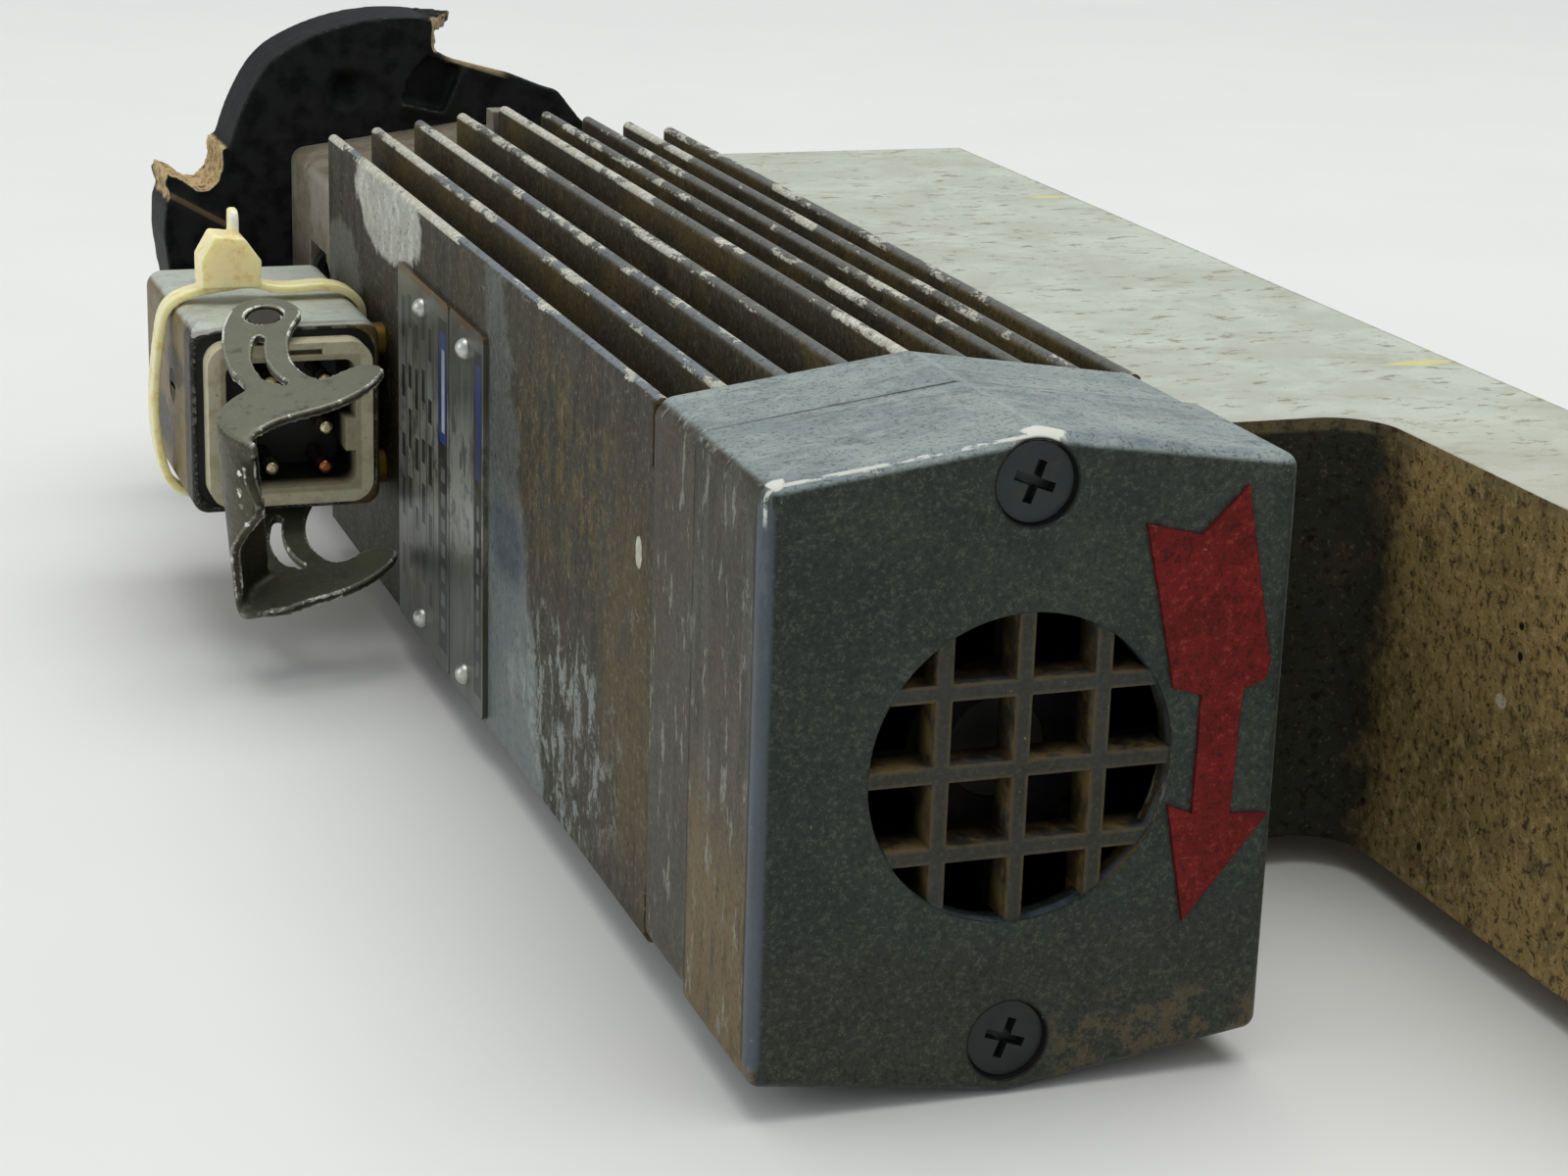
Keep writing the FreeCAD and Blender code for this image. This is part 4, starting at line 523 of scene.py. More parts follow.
def bracket_cast():
    """Sand casting with a pitted tan-brown skin on its walls, painted shade on the wall beside the motor, and a
    pale machined top.
    """
    g = Graph("bracket_cast", 0.55, specular=0.12, rounding=0.6)
    top_z = box_mm("bracket_casting")[1].z
    fine = g.noise(0.9, 4, 0.8)
    sand = g.noise(1.7, 5, 0.76)
    pits = g.above(g.noise(1.5, 4, 0.72), 0.56, 0.07)
    holes = g.mul(g.below(g.cells(4.6), 0.17, 0.05), g.above(g.noise(12, 3), 0.5, 0.06))
    up = g.mul(g.facing("Z", 1, 0.75, 0.2), g.above(g.z, top_z - 0.6, 0.3))
    ragged = g.mul(g.add(g.noise(5, 6, 0.7), -0.5), 14.0)
    motor_side = g.below(g.x, ARM_SIDE_X + 1.5, 1.0)
    end_or_under = g.most(g.facing("Y", 1, 0.5, 0.2), g.facing("Z", -1, 0.5, 0.2))
    # painted shade: the wall beside the motor's cover is painted dark where it lies in shade
    painted_wall_shade = g.mul(motor_side, g.above(g.add(g.y, ragged), CORNER_SHADE_Y, 11), g.inverse(end_or_under))
    unshaded_wall = g.inverse(painted_wall_shade)
    cloud = g.noise(22, 6, 0.66, warp=0.6)
    tan = g.mix(g.above(cloud, 0.4, 0.25), srgb(158, 134, 84), srgb(132, 112, 68))
    dark = g.mix(g.above(cloud, 0.4, 0.25), srgb(50, 50, 42), srgb(42, 42, 35))
    wall = g.layers(g.mix(unshaded_wall, dark, tan),
                    (g.mul(g.above(g.noise(9, 7, 0.74), 0.52, 0.12), 0.5), srgb(74, 64, 42)),
                    (g.mul(pits, 0.75), srgb(40, 33, 19)),
                    (g.mul(g.above(sand, 0.55, 0.05), unshaded_wall, 0.6), srgb(186, 164, 114)),
                    (g.mul(g.below(sand, 0.45, 0.06), 0.6), srgb(52, 44, 27)),
                    (holes, srgb(24, 21, 14)))
    fleck = g.above(g.noise(2.6, 5, 0.74, g.stretch(0.5, 1.0, 1)), 0.57, 0.05)
    plate = g.layers(srgb(180, 183, 170),
                     (g.above(cloud, 0.4, 0.25), srgb(194, 198, 186)),
                     (g.mul(g.above(g.noise(7, 7, 0.72, g.stretch(0.6, 1.4, 1)), 0.52, 0.14), 0.35),
                      srgb(150, 147, 126)),
                     (g.mul(fleck, g.above(g.noise(14, 3), 0.36, 0.12), 0.7), srgb(128, 121, 94)))
    marks = g.most(g.spot(g.x, g.y, (95.4, -54), (3.6, 1.2), 0.25, 2, 0.3),
                   g.spot(g.x, g.y, (94.5, -188), (5.2, 1.3), 0.3, 2, 0.3))
    rim = g.mul(g.edges(1.2), g.above(g.noise(4, 5, 0.7), 0.36, 0.2))
    below_rim = g.mul(g.band((g.z, top_z - 1.4, top_z - 0.3), soft=0.6), g.inverse(up),
                      g.above(g.noise(5, 5, 0.7), 0.34, 0.2))
    nick = g.spot(g.y, g.z, (-252, -4), (1.3, 0.9), 0.3, 1.5, 0.15)
    g.color(g.layers(g.mix(up, wall, plate),
                     (g.mul(g.below(g.y, -200, 70), up, 0.45), srgb(172, 168, 146)),
                     (g.mul(marks, up, 0.7), srgb(214, 204, 120)),
                     (g.mul(g.above(fine, 0.57, 0.12), 0.25), srgb(160, 150, 120)),
                     (g.mul(g.below(fine, 0.43, 0.12), g.add(0.12, g.mul(g.inverse(up), 0.45))),
                      srgb(34, 30, 20)),
                     (g.mul(below_rim, 0.5), srgb(138, 124, 88)),
                     (g.mul(rim, up, 0.5), srgb(112, 98, 66)),
                     (g.mul(nick, motor_side), srgb(196, 184, 160))))
    g.rough(g.add(0.5, g.mul(g.noise(3, 5), 0.2)))
    rugged = g.mul(g.inverse(up), g.add(g.mul(sand, 0.8), g.mul(g.inverse(pits), 0.35)))
    g.bump(rugged, 1.0, 0.7)
    g.bump(g.mul(up, g.add(fine, g.mul(fleck, -0.8))), 0.3, 0.1)
    return g.material


# ======== connector, lever and tie ========

def connector_metal():
    """Die-cast plug housing: grey on top, brown and oily on its sides, dark round the collar."""
    g = Graph("connector_metal", 0.42, 0.3, specular=0.3, rounding=0.8)
    (_, front, _), (right, _, _) = box_mm("connector_housing")
    fine = g.noise(0.5, 3, 0.75)
    cloud = g.noise(5, 6, 0.7)
    up = g.facing("Z", 1, 0.5, 0.3)
    side = g.facing("X", -1, 0.5, 0.3)
    rim = g.mul(g.below(g.y, front + 2.6, 1.2), g.inverse(g.mul(up, 0.4)))
    flank = g.mul(g.facing("X", -1, 0.15, 0.3), g.below(g.y, front + 7.0, 1.2))
    lip = g.mul(g.most(flank, g.below(g.y, front + 2.5, 0.5)), g.below(g.x, right - 4, 2),
                g.inverse(g.mul(up, 0.75)))
    dark = g.mul(side, g.most(g.spot(g.y, g.z, (front + 16, 3), (9, 3.2), 0.8, 3, 0.4),
                              g.spot(g.y, g.z, (front + 30, -9), (10, 4), 0.9, 4, 0.5)))
    rubbed = g.mul(g.edges(0.9), g.above(g.noise(1.8, 5, 0.7), 0.5, 0.08), 0.75)
    g.color(g.layers(g.mix(up, srgb(116, 100, 64), srgb(188, 193, 182)),
                     (g.mul(g.above(cloud, 0.48, 0.16), g.inverse(g.mul(up, 0.6)), 0.6), srgb(84, 72, 46)),
                     (g.mul(side, g.above(g.noise(3.2, 7, 0.74, g.stretch(1, 0.5, 1)), 0.54, 0.1), 0.7),
                      srgb(58, 50, 36)),
                     (g.mul(dark, 0.85), OIL_AND_SHADE_BLACK),
                     (g.mul(rim, 0.6), srgb(92, 76, 50)),
                     (g.mul(lip, 0.93), srgb(20, 23, 26)),
                     (g.mul(g.above(fine, 0.56, 0.12), 0.3), srgb(168, 164, 146)),
                     (g.mul(g.below(fine, 0.44, 0.12), 0.4), srgb(42, 38, 28)),
                     (rubbed, srgb(190, 188, 176))))
    g.rough(g.add(0.3, g.mul(g.noise(1.8, 6, 0.7), 0.34)))
    g.bump(fine, 0.2, 0.1)
    g.bump(cloud, 0.2, 0.25)
    return g.material


def insert_cream():
    """Moulded cream insert, brownish at its rim and darkening to black in the depth of its collar."""
    g = Graph("insert_cream", 0.42, rounding=0.3)
    (left, front, low), (right, _, high) = box_mm("connector_insert")
    wall = 2.2
    inside = g.band((g.x, left + wall, right - wall), (g.z, low + wall, high - wall), soft=0.5)
    deep = g.mul(inside, g.above(g.y, front + 0.5, 5.5))
    soil = g.noise(2.6, 6, 0.7)
    g.color(g.layers(srgb(196, 190, 160),
                     (g.above(soil, 0.45, 0.2), srgb(176, 168, 134)),
                     (g.mul(g.above(g.noise(1.2, 5, 0.7), 0.6, 0.08), 0.6), srgb(110, 92, 60)),
                     (g.mul(inside, 0.5), srgb(120, 108, 80)),
                     (deep, srgb(20, 18, 14))))
    g.rough(g.add(0.36, g.mul(soil, 0.2)))
    g.bump(g.noise(0.8, 3), 0.1, 0.08)
    return g.material


def contact_metal():
    """Plated contact pins: bright tips, dull stems, one of them bare copper."""
    g = Graph("contact_metal", 0.24, 1.0)
    front = box_mm("contact_pins")[0].y
    copper = g.spot(g.x, g.z, (-41.7, -11.1), (2, 2), ragged=0.0, soft=0.1)
    tip = g.below(g.y, front + 3.4, 1.2)
    stem = g.mix(g.above(g.noise(1.2, 4), 0.4, 0.3), srgb(70, 64, 48), srgb(106, 96, 72))
    g.color(g.mix(tip, stem, g.mix(copper, srgb(226, 212, 172), srgb(190, 120, 78))))
    g.rough(g.add(0.16, g.mul(g.noise(0.8, 4), 0.2)))
    g.bump(g.noise(0.6, 3), 0.1, 0.05)
    return g.material


def lever_steel():
    """Stamped sheet steel: olive grey and greasy, with rubbed bright edges, painted light on its upward faces and
    painted shade on its lower inner faces and lower arm.
    """
    g = Graph("lever_steel", 0.36, 0.35, specular=0.3)
    fine = g.noise(0.6, 3, 0.75)
    cloud = g.noise(5, 6, 0.68)
    edge = g.convex(0.516, 0.534)
    # painted shade: the lower inner faces and the lower arm are darkened
    inner = g.facing("X", 1, 0.2, 0.4)
    low = g.below(g.z, -16, 8)
    # painted light: the upward faces are painted lighter
    up = g.facing("Z", 1, 0.4, 0.3)
    bright = g.mul(edge, g.above(g.noise(5.5, 7, 0.76, warp=0.5), 0.52, 0.04))
    g.color(g.layers(srgb(76, 73, 55),
                     (g.above(cloud, 0.42, 0.2), srgb(52, 49, 35)),
                     (g.mul(up, 0.7), srgb(118, 120, 103)),
                     (g.mul(g.above(g.noise(2.6, 7, 0.74), 0.56, 0.1), 0.6), srgb(52, 48, 34)),
                     (g.mul(g.most(g.mul(inner, g.below(g.z, 4, 6)), low), 0.6), srgb(50, 50, 36)),
                     (g.mul(g.above(fine, 0.57, 0.12), 0.3), srgb(150, 148, 130)),
                     (g.mul(edge, 0.5), srgb(158, 158, 144)),
                     (g.mul(bright, 0.95), srgb(232, 232, 222))))
    g.rough(g.add(0.28, g.mul(g.noise(1.5, 6, 0.7), 0.3)))
    g.bump(fine, 0.15, 0.08)
    g.bump(g.noise(4, 5), 0.2, 0.25)
    return g.material


def tie_nylon():
    """Natural nylon, a little yellowed, with cross ribs along the strap's inner face."""
    g = Graph("tie_nylon", 0.34)
    g.shader.inputs["Subsurface Weight"].default_value = 0.6
    g.shader.inputs["Subsurface Radius"].default_value = (1.0, 0.7, 0.35)
    g.shader.inputs["Subsurface Scale"].default_value = 0.004
    soil = g.noise(3, 6, 0.7)
    head_z = box_mm("cable_tie")[1].z
    cut_end = g.mul(g.spot(g.y, g.z, (-67.2, head_z - 1.6), (1.3, 1.4), 0.35, 1.2, 0.1), 0.9)
    g.color(g.layers(srgb(250, 234, 180),
                     (g.above(soil, 0.48, 0.2), srgb(230, 205, 142)),
                     (g.mul(g.above(g.noise(1.4, 6, 0.7), 0.66, 0.08), 0.35), srgb(150, 126, 80)),
                     (cut_end, srgb(240, 238, 226))))
    g.rough(g.add(0.26, g.mul(soil, 0.2)))
    ribs = g.math("SINE", g.mul(g.z, 5.2))
    g.bump(ribs, 0.08, 0.08)
    return g.material


def seal_rubber():
    """Black seal, dull with a film of dust."""
    g = Graph("seal_rubber", 0.5, specular=0.35)
    dust = g.noise(2, 6, 0.7)
    g.color(g.mix(g.above(dust, 0.5, 0.2), srgb(15, 16, 17), srgb(34, 34, 32)))
    g.rough(g.add(0.42, g.mul(dust, 0.25)))
    g.bump(g.noise(0.6, 3), 0.15, 0.06)
    return g.material


# ======== hood, arrow, plates ========

def hood_black():
    """Matte black moulding with beige broken faces where it has cracked away, and a painted highlight along its
    crest.
    """
    g = Graph("hood_black", 0.56, specular=0.1)
    fine = g.noise(0.7, 4, 0.75)
    shell = g.noise(9, 6, 0.65)
    sideways = g.inverse(g.most(g.facing("Y", 1, 0.55, 0.2), g.facing("Y", -1, 0.55, 0.2)))
    notch = g.band((g.x, -53.6, -43.2), (g.z, 17.6, 27.2), soft=0.8)
    tip = g.mul(g.band((g.x, -5.4, 3.6), (g.z, 42.6, 49.4), soft=0.6), g.facing("X", 1, 0.35, 0.3), 0.7)
    broken = g.mul(g.mul(g.most(notch, tip), sideways), g.above(g.noise(2.4, 6, 0.72), 0.36, 0.1))
    crest = g.off_line(0.308, 41.55)
    # painted highlight: a pale beige line along the crest
    crest_highlight = g.mul(g.below(crest, 0.75, 0.4), g.band((g.x, -0.5, 7.0), soft=3), 0.55)
    bead = g.off_line(0.566, -11.75)
    bead_line = g.mul(g.below(bead, 0.8, 0.5), g.band((g.x, -52.6, -42.7), soft=0.8), 0.7)
    worn = g.mul(g.convex(0.54, 0.57), g.above(g.noise(2.8, 6, 0.7), 0.44, 0.12))
    rear_y = box_mm("dust_hood")[0].y
    rear_rim = g.mul(g.below(g.y, rear_y + 2.9, 1.0), g.above(g.noise(4, 5), 0.35, 0.25))
    g.color(g.layers(srgb(11, 12, 13),
                     (g.above(shell, 0.46, 0.2), srgb(18, 19, 19)),
                     (g.mul(g.above(fine, 0.58, 0.12), 0.3), srgb(58, 58, 54)),
                     (g.mul(rear_rim, 0.3), srgb(50, 54, 51)),
                     (g.mul(worn, 0.6), srgb(98, 98, 90)),
                     (g.mul(g.above(g.noise(5, 6, 0.72), 0.62, 0.08), 0.3), srgb(74, 64, 46)),
                     (bead_line, srgb(112, 94, 66)),
                     (crest_highlight, srgb(172, 150, 112)),
                     (broken, g.mix(g.above(g.noise(1.3, 5), 0.45, 0.2), BEIGE_BREAK, srgb(150, 124, 82)))))
    g.rough(g.add(0.44, g.mul(g.noise(2, 6, 0.7), 0.25)))
    g.bump(fine, 0.25, 0.12)
    g.bump(g.mul(broken, g.noise(1.0, 5, 0.7)), 0.7, 0.4)
    return g.material


def arrow_red():
    """Brick-red cast arrow, rough like the paint that filled it."""
    g = Graph("arrow_red", 0.55, specular=0.15, rounding=0.2)
    fine = g.noise(0.9, 4, 0.8)
    cloud = g.noise(6, 6, 0.68)
    g.color(g.layers(srgb(108, 23, 19),
                     (g.above(cloud, 0.42, 0.25), srgb(92, 18, 16)),
                     (g.mul(g.below(fine, 0.46, 0.06), 0.7), srgb(52, 13, 11)),
                     (g.mul(g.above(fine, 0.57, 0.06), 0.35), srgb(164, 74, 60)),
                     (g.mul(g.above(g.noise(1.4, 3), 0.72, 0.03), 0.6), srgb(170, 120, 96)),
                     (g.mul(g.edges(0.5), g.above(g.noise(2, 5), 0.45, 0.1), 0.6), srgb(54, 22, 20))))
    g.rough(g.add(0.42, g.mul(fine, 0.25)))
    g.bump(fine, 0.6, 0.2)
    return g.material


def nameplate(name, node, fields):
    """Brushed plate with a painted reflection across its middle, and dark and blue printed fields, given as (y, z,
    colour) spans from its low corner.
    """
    g = Graph(name, 0.3, 0.7, specular=0.15)
    (_, near, low), (_, _, high) = box_mm(node)
    brushed = g.noise(0.8, 4, 0.7, g.stretch(1, 1, 0.04))
    front = g.facing("X", -1, 0.6, 0.2)
    # painted reflection: a bright band across the plate's middle
    middle = g.mul(g.below(g.absolute(g.z), 16, 12), g.above(g.noise(8, 6, 0.7), 0.4, 0.12), 0.7)
    colour = g.mix(g.above(brushed, 0.35, 0.3), srgb(100, 103, 99), srgb(134, 137, 132))
    colour = g.mix(middle, colour, srgb(196, 199, 194))
    printed = 0.0
    for (y_low, y_high), (z_low, z_high), tone in fields:
        mask = g.band((g.y, near + y_low, near + y_high), (g.z, low + z_low, low + z_high), soft=0.12)
        worn = g.mul(mask, g.add(0.85, g.mul(g.above(g.noise(2.4, 6, 0.7), 0.3, 0.3), 0.15)))
        colour = g.mix(worn, colour, tone)
        printed = worn if printed == 0.0 else g.most(printed, worn)
    rust = g.mul(g.band((g.z, high - 0.9, high + 1), soft=0.5), g.above(g.noise(3, 5), 0.35, 0.2))
    soil = g.mul(g.above(g.noise(9, 7, 0.72, g.stretch(1, 1, 0.5), 0.5), 0.5, 0.14), 0.55)
    # painted reflection: the plate is darker towards its top and bottom
    dull = g.mul(g.most(g.above(g.z, 6, 14), g.below(g.z, -10, 10)), 0.4)
    g.color(g.layers(colour,
                     (dull, srgb(74, 78, 78)),
                     (soil, srgb(70, 66, 52)),
                     (rust, srgb(104, 78, 48)),
                     (g.mul(g.inverse(front), 0.6), srgb(86, 74, 52))))
    g.metal(g.mul(g.inverse(g.mul(printed, 0.9)), 0.7))
    g.rough(g.add(0.24, g.mul(brushed, 0.22)))
    g.bump(brushed, 0.08, 0.04)
    return g.material


def plate_fields(height, columns):
    """Blank printed fields of a rating plate: a dark strip with a blue block, and ruled boxes beside it."""
    ink = srgb(28, 30, 32)
    blue = srgb(36, 62, 128)
    pale = srgb(176, 180, 178)
    grey = srgb(104, 108, 106)
    strip = 6.6 if columns else 5.4
    rows = [((0.9, strip), (3.0, height - 3.0), ink),
            ((1.6, strip - 0.9), (height * 0.62, height - 5.0), blue),
            ((2.6, strip - 2.2), (height * 0.65, height - 7.5), pale if columns else blue)]
    for k in range(7):
        z = 6.0 + 3.9 * k
        rows.append(((2.4, strip - 1.6), (z, z + 2.1), grey))
    column_pitch, box_pitch, stagger = 4.6, 9.6, 2.3
    for k in range(columns):
        rule_y = strip + 3.2 + column_pitch * k
        rows.append(((rule_y, rule_y + 0.35), (4.5, height - 4.5), ink))
        for step in range(5):
            z = 7.5 + box_pitch * step + stagger * (k % 2)
            box_height = 3.6 + 1.3 * ((step + k) % 3)
            rows.append(((rule_y + 1.2, rule_y + 3.4), (z, z + box_height), ink))
    return rows


# ======== small parts ========

def metal_part(name, colour, roughness, metallic=1.0, dirt=0.3):
    """A small metal part: uneven sheen, fine grain, dirt in patches."""
    g = Graph(name, roughness, metallic, rounding=0.15)
    darker = tuple(c * 0.775 for c in colour)
    brighter = tuple(min(1.0, c * 1.6 + 0.05) for c in colour)
    shade = g.mix(g.above(g.noise(6, 6, 0.65), 0.4, 0.3), colour, darker)
    soil = g.mul(g.above(g.noise(2.8, 7, 0.7, warp=0.4), 0.54, 0.14), dirt)
    g.color(g.layers(shade,
                     (soil, srgb(84, 70, 48)),
                     (g.mul(g.edges(0.3), g.above(g.noise(1.5, 4), 0.45, 0.1), 0.4), brighter)))
    g.rough(g.add(roughness, g.add(g.mul(soil, 0.3), g.mul(g.noise(1.2, 4), 0.14))))
    g.bump(g.noise(0.6, 3, 0.6), 0.1, 0.08)
    return g.material


def turned_steel(name, colour, roughness):
    """Ground or turned steel with fine rings round the shaft axis, sooty at the fan end."""
    g = Graph(name, roughness, 1.0)
    rings = g.math("SINE", g.mul(g.add(g.distance(g.x, g.z), g.mul(g.y, 0.8)), 14.0))
    soil = g.above(g.noise(5, 6, 0.7), 0.58, 0.12)
    sooty = g.below(g.y, box_mm("fan_cover")[1].y + 2.5, 4)
    g.color(g.layers(colour,
                     (g.mul(g.noise(3, 5), 0.35), tuple(c * 0.6 for c in colour)),
                     (g.mul(soil, 0.5), srgb(92, 78, 54)),
                     (g.mul(sooty, 0.93), srgb(26, 23, 18))))
    g.rough(g.add(roughness, g.add(g.mul(soil, 0.25), g.mul(sooty, 0.4))))
    g.bump(rings, 0.12, 0.02)
    return g.material


def wound_copper():
    """Varnished winding heads, strand beside strand."""
    g = Graph("winding_copper", 0.3, 0.5)
    strand = g.math("SINE", g.mul(g.add(g.distance(g.x, g.z), g.y), 7.0))
    g.color(g.mix(g.above(strand, -0.3, 1.0), srgb(92, 48, 26), srgb(172, 98, 54)))
    g.rough(g.add(0.28, g.mul(g.noise(2, 4), 0.2)))
    g.bump(strand, 0.5, 0.3)
    return g.material


def laminated():
    """Stacked sheets, seen as fine lines across the shaft."""
    g = Graph("lamination", 0.4, 0.8)
    sheets = g.math("SINE", g.mul(g.y, 12.5))
    g.color(g.mix(g.above(sheets, -0.2, 0.8), srgb(64, 66, 70), srgb(120, 122, 126)))
    g.rough(g.add(0.36, g.mul(g.noise(2, 4), 0.2)))
    g.bump(sheets, 0.3, 0.1)
    return g.material


def fan_plastic():
    """Black fan blades under a coat of tan dust."""
    g = Graph("fan_plastic", 0.6, specular=0.08)
    dust = g.above(g.noise(5, 7, 0.72), 0.46, 0.2)
    g.color(g.mix(g.mul(dust, 0.5), srgb(12, 12, 12), srgb(48, 40, 26)))
    g.rough(g.add(0.5, g.mul(dust, 0.3)))
    g.bump(g.noise(0.8, 4), 0.3, 0.15)
    return g.material


def all_materials():
    """Every material, by its slot's name or by its own; both nameplates are equally tall."""
    low, high = box_mm("nameplate_large")
    plate_height = high.z - low.z
    return {
        "cover_paint": cover_enamel(),
        "housing_paint": housing_enamel(),
        "flange_metal": flange_metal(),
        "bracket_cast": bracket_cast(),
        "connector_metal": connector_metal(),
        "insert_cream": insert_cream(),
        "contact_metal": contact_metal(),
        "lever_steel": lever_steel(),
        "tie_nylon": tie_nylon(),
        "seal_rubber": seal_rubber(),
        "hood_black": hood_black(),
        "arrow_red": arrow_red(),
        "large_plate": nameplate("large_plate", "nameplate_large", plate_fields(plate_height, columns=5)),
        "small_plate": nameplate("small_plate", "nameplate_small", plate_fields(plate_height, columns=0)),
        "plate_metal": metal_part("rivet_metal", srgb(196, 196, 190), 0.28, 0.9, 0.25),
        "screw_black": metal_part("black_screw", srgb(46, 50, 50), 0.36, 0.5, 0.3),
        "oiled_steel": metal_part("oiled_steel", srgb(52, 48, 38), 0.5, 0.5, 0.5),
        "screw_zinc": metal_part("zinc_screw", srgb(160, 160, 154), 0.32, 0.9, 0.35),
        "die_cast": metal_part("die_cast", srgb(150, 150, 146), 0.45, 0.8),
        "brass": metal_part("brass", srgb(128, 104, 50), 0.4, 1.0, 0.7),
        "spring_steel": metal_part("spring_steel", srgb(60, 60, 60), 0.45, 1.0, 0.5),
        "shaft_steel": turned_steel("ground_steel", srgb(176, 176, 174), 0.22),
        "bearing_steel": turned_steel("bearing_steel", srgb(196, 196, 198), 0.14),
        "copper_winding": wound_copper(),
        "lamination": laminated(),
        "fan_plastic": fan_plastic(),
    }


# CAD nodes whose look differs from that of their slot.
NODE_LOOKS = {
    "lever_pivot_pins": "oiled_steel",
    "earth_screw": "oiled_steel",
    "nameplate_large": "large_plate",
    "nameplate_small": "small_plate",
}


def dress_cad_nodes(looks):
    """Gives each CAD node the look of its material slot, or its own look."""
    for name, obj in nodes.items():
        obj.data.materials.clear()
        obj.data.materials.append(looks[NODE_LOOKS.get(name, slots[name])])


# ======== pieces that stand for CAD nodes ========

# The lever, in millimetres: the handle's bend seen along the hinge, the sheet's thickness, the distance
# between the arms, how near the folds it is rounded, and how far the upper arm's underside is lifted.
HANDLE_BEND = ((-6.6, -22.0), (-9.6, -24.0), (-12.0, -27.6), (-12.6, -31.5), (-11.2, -36.0), (-8.7, -39.2))
LEVER_T = 1.5
LEVER_SPAN = 33.0
FOLD_REACH = 4.6
ARM_LIFT = 0.22


def remeshed(name, node, voxel, passes, weigh=None, bend_passes=0):
    """An even mesh of a CAD node with rounded edges; weigh gives how much more each point is smoothed."""
    obj = bpy.data.objects.new(name, nodes[node].data.copy())
    scene.collection.objects.link(obj)
    remesh = obj.modifiers.new("remesh", "REMESH")
    remesh.mode = "VOXEL"
    remesh.voxel_size = voxel * MM
    smooth = obj.modifiers.new("smooth", "SMOOTH")
    smooth.iterations = passes
    settle(obj)
    if weigh:
        group = obj.vertex_groups.new(name="bend")
        for point in obj.data.vertices:
            weight = weigh(point.co / MM)
            if weight > 0.0:
                group.add([point.index], weight, "REPLACE")
        bend = obj.modifiers.new("bend", "SMOOTH")
        bend.iterations = bend_passes
        bend.vertex_group = "bend"
        settle(obj)
    for polygon in obj.data.polygons:
        polygon.use_smooth = True
    return obj


def settle(obj):
    """Replaces an object's mesh with its evaluated mesh, modifiers applied."""
    bpy.context.view_layer.update()
    depsgraph = bpy.context.evaluated_depsgraph_get()
    mesh = bpy.data.meshes.new_from_object(obj.evaluated_get(depsgraph))
    obj.modifiers.clear()
    obj.data = mesh


def stand_in(obj, node, look):
    """Puts a finished piece in a CAD node's place, on its body and in its material slot."""
    bodies = frame["record"]["behaviour"]["bodies"]
    body = next(name for name, members in bodies.items() if node in members)
    obj.data.materials.clear()
    obj.data.materials.append(look)
    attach(obj, body)
    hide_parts(node)


def lever_hinge():
    """The middle of the lever's upper eye, in millimetres, and the hinge's direction."""
    joint = next(j for j in frame["joints"] if j["name"] == "lever_swing")
    return Vector(joint["pos_m"]) / MM, Vector(joint["axis"]).normalized()


def lever_bend_weight():
    """How near a point lies to the folds between the lever's two arms and its handle."""
    eye, axis = lever_hinge()
    across = (Vector((1, 0, 0)) - axis * axis.x).normalized()
    along = axis.cross(across)
    fold = [Vector((u, v)) for u, v in HANDLE_BEND]
    heights = (LEVER_T / 2, -LEVER_SPAN - LEVER_T / 2)

    def weight(point):
        offset = point - eye
        plan = Vector((offset.dot(across), offset.dot(along)))
        height = offset.dot(axis)
        aside = min(distance_to_run(plan, a, b) for a, b in zip(fold, fold[1:]))
        rise = min(abs(height - h) for h in heights)
        return max(0.0, 1.0 - math.hypot(aside, rise) / FOLD_REACH) ** 0.5

    return weight


def distance_to_run(point, a, b):
    """How far a point lies from the straight run from a to b."""
    run = b - a
    share = max(0.0, min(1.0, (point - a).dot(run) / run.length_squared))
    return (point - a - run * share).length


def thin_upper_arm(lever):
    """Lifts the upper arm's underside a little, so that it passes over the connector's corner."""
    eye, axis = lever_hinge()
    mesh = bmesh.new()
    mesh.from_mesh(lever.data)
    mesh.normal_update()
    for point in mesh.verts:
        height = (point.co / MM - eye).dot(axis)
        if abs(height + LEVER_T / 2) < 0.5:
            # 0 on the sheet's sides, 1 where it faces straight down the hinge
            downward = max(0.0, -point.normal.dot(axis) - 0.5) * 2.0
            point.co += axis * downward * ARM_LIFT * MM
    mesh.to_mesh(lever.data)
    mesh.free()


def make_lever(look):
    """The stamped lever with rounded folds and edges."""
    lever = remeshed("locking_lever_sheet", "locking_lever", 0.32, 3, lever_bend_weight(), 90)
    thin_upper_arm(lever)
    stand_in(lever, "locking_lever", look)


# Where the hood has broken away, as lowest and highest x and then z, in millimetres.
BREAKS = (((-54.6, -43.0), (17.0, 27.4)), ((-5.6, 3.8), (42.4, 49.8)))


def make_hood(look):
    """The broken hood: worn edges, and broken faces that are really jagged."""
    hood = remeshed("dust_hood_shell", "dust_hood", 0.55, 2)
    mesh = bmesh.new()
    mesh.from_mesh(hood.data)
    mesh.normal_update()
    for point in mesh.verts:
        x, _, z = point.co / MM
        broken = any(x_low < x < x_high and z_low < z < z_high for (x_low, x_high), (z_low, z_high) in BREAKS)
        if broken and abs(point.normal.y) < 0.7:
            rugged = perlin.fractal(point.co / (2.2 * MM), 0.9, 2.1, 4)
            point.co += point.normal * (rugged * 0.45 - 0.15) * MM
    mesh.to_mesh(hood.data)
    mesh.free()
    stand_in(hood, "dust_hood", look)


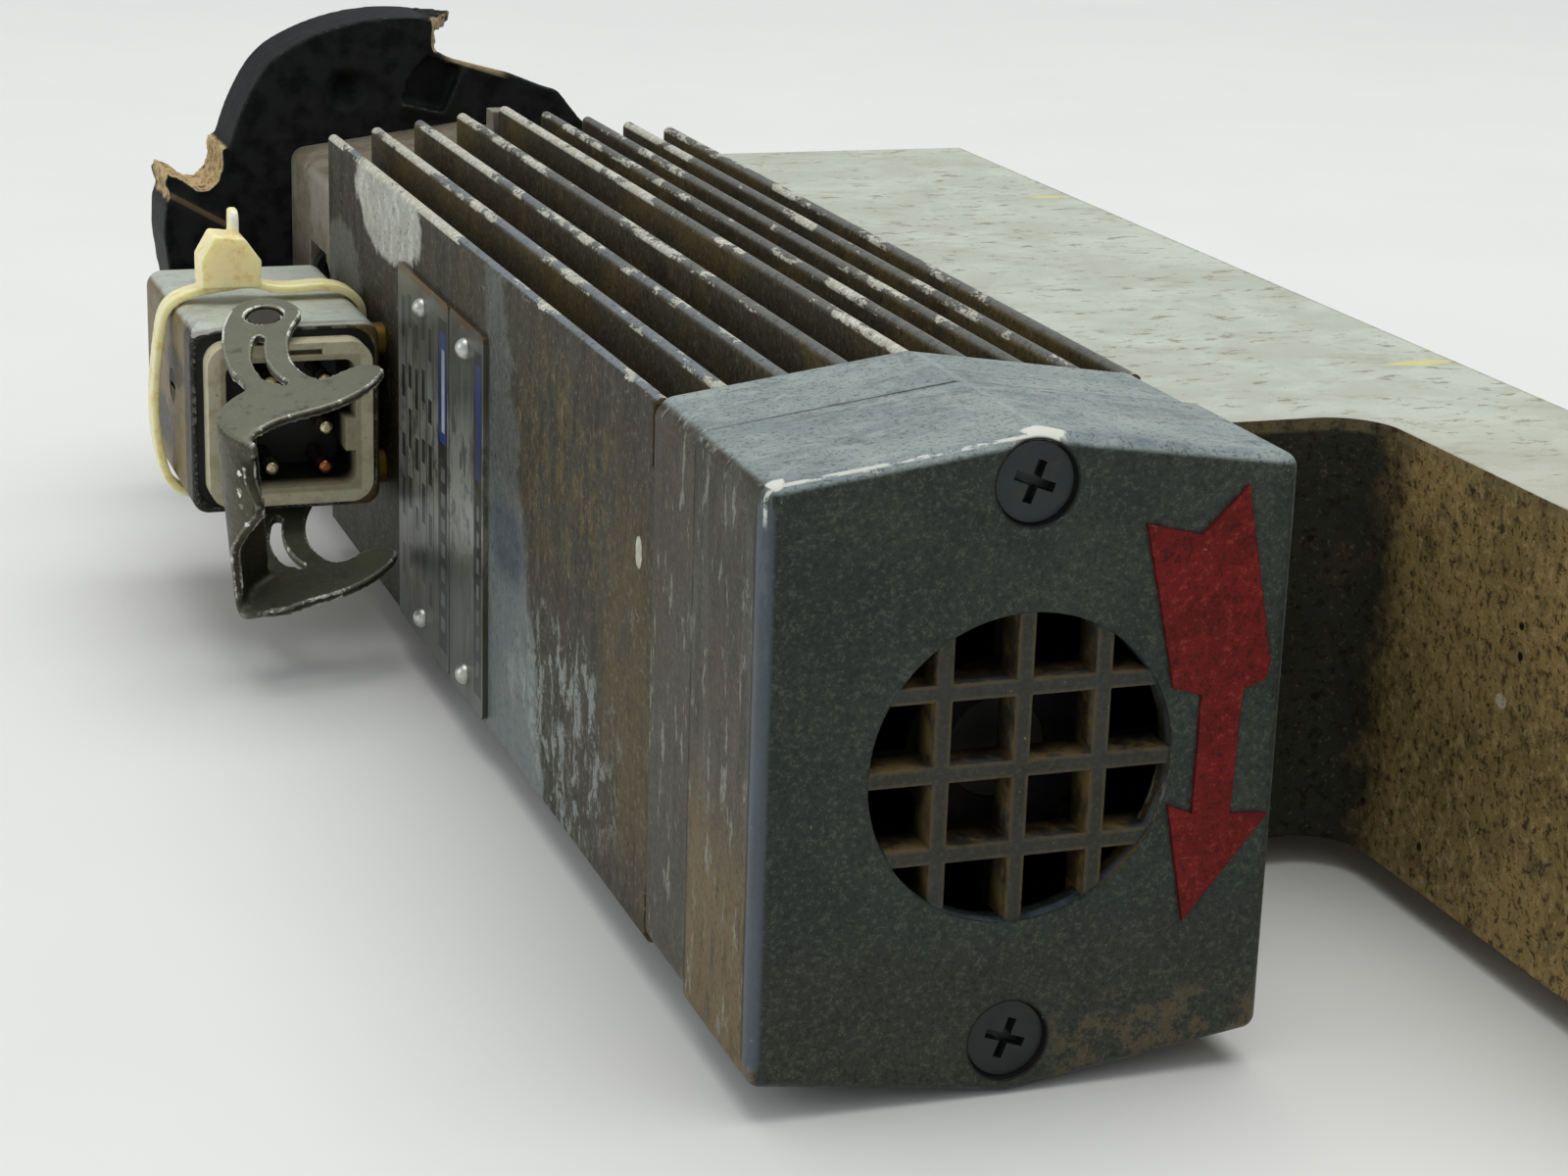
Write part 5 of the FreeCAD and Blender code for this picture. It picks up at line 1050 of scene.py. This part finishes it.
def make_tie(look):
    """The cable tie with its moulded edges rounded."""
    tie = remeshed("cable_tie_strap", "cable_tie", 0.28, 3)
    stand_in(tie, "cable_tie", look)


# ======== camera, floor and light ========

CAMERA_AT = (-0.13612, -0.57452, 0.12164)
CAMERA_HEADING = -19.436
CAMERA_TILT = 73.029
CAMERA_ROLL = 1.794


def place_camera():
    """Low three-quarter view onto the fan cover from the connector's side.

    The heading is in degrees from +Y, the tilt from straight down, the roll about the line of sight.
    """
    data = bpy.data.cameras.new("camera")
    data.sensor_width = 36.0
    data.lens = 73.2
    camera = bpy.data.objects.new("camera", data)
    scene.collection.objects.link(camera)
    turn = Matrix.Identity(4)
    for degrees, axis in ((CAMERA_HEADING, "Z"), (CAMERA_TILT, "X"), (CAMERA_ROLL, "Z")):
        turn = turn @ Matrix.Rotation(math.radians(degrees), 4, axis)
    camera.matrix_world = Matrix.Translation(CAMERA_AT) @ turn
    scene.camera = camera


def make_floor():
    """A plain pale floor, twelve metres across, level with the lowest point of the part."""
    mesh = bpy.data.meshes.new("floor")
    half = 6.0
    corners = [(x * half, y * half, cad_low.z) for x, y in ((-1, -1), (1, -1), (1, 1), (-1, 1))]
    mesh.from_pydata(corners, [], [(0, 1, 2, 3)])
    floor = bpy.data.objects.new("floor", mesh)
    scene.collection.objects.link(floor)
    g = Graph("floor_card", 0.7, specular=0.2)
    g.color(g.mix(g.noise(60, 3), srgb(226, 226, 224), srgb(232, 232, 229)))
    mesh.materials.append(g.material)


def area_light(name, place, target, size, power, colour):
    """A round soft light of size metres and power watts at place, aimed at target."""
    data = bpy.data.lights.new(name, "AREA")
    data.shape = "DISK"
    data.size = size
    data.energy = power
    data.color = colour
    lamp = bpy.data.objects.new(name, data)
    scene.collection.objects.link(lamp)
    aim = (Vector(target) - Vector(place)).to_track_quat("-Z", "Y")
    lamp.matrix_world = Matrix.Translation(place) @ aim.to_matrix().to_4x4()


def light_scene():
    """An even pale surround, a large lamp above and a weak one from the left."""
    world = bpy.data.worlds.new("world")
    scene.world = world
    world.use_nodes = True
    background = world.node_tree.nodes["Background"]
    background.inputs["Color"].default_value = (0.93, 0.97, 1.0, 1.0)
    background.inputs["Strength"].default_value = 0.56
    middle = (0.0, -0.15, 0.0)
    area_light("top_soft", (0.25, -0.1, 2.15), middle, size=2.3, power=31, colour=(1.0, 0.995, 0.97))
    area_light("left_soft", (-1.6, 0.1, 0.7), middle, size=1.2, power=4.5, colour=(0.97, 0.98, 1.0))
    scene.view_settings.view_transform = "Standard"


looks = all_materials()
dress_cad_nodes(looks)
make_lever(looks["lever_steel"])
make_hood(looks["hood_black"])
make_tie(looks["tie_nylon"])
place_camera()
make_floor()
light_scene()
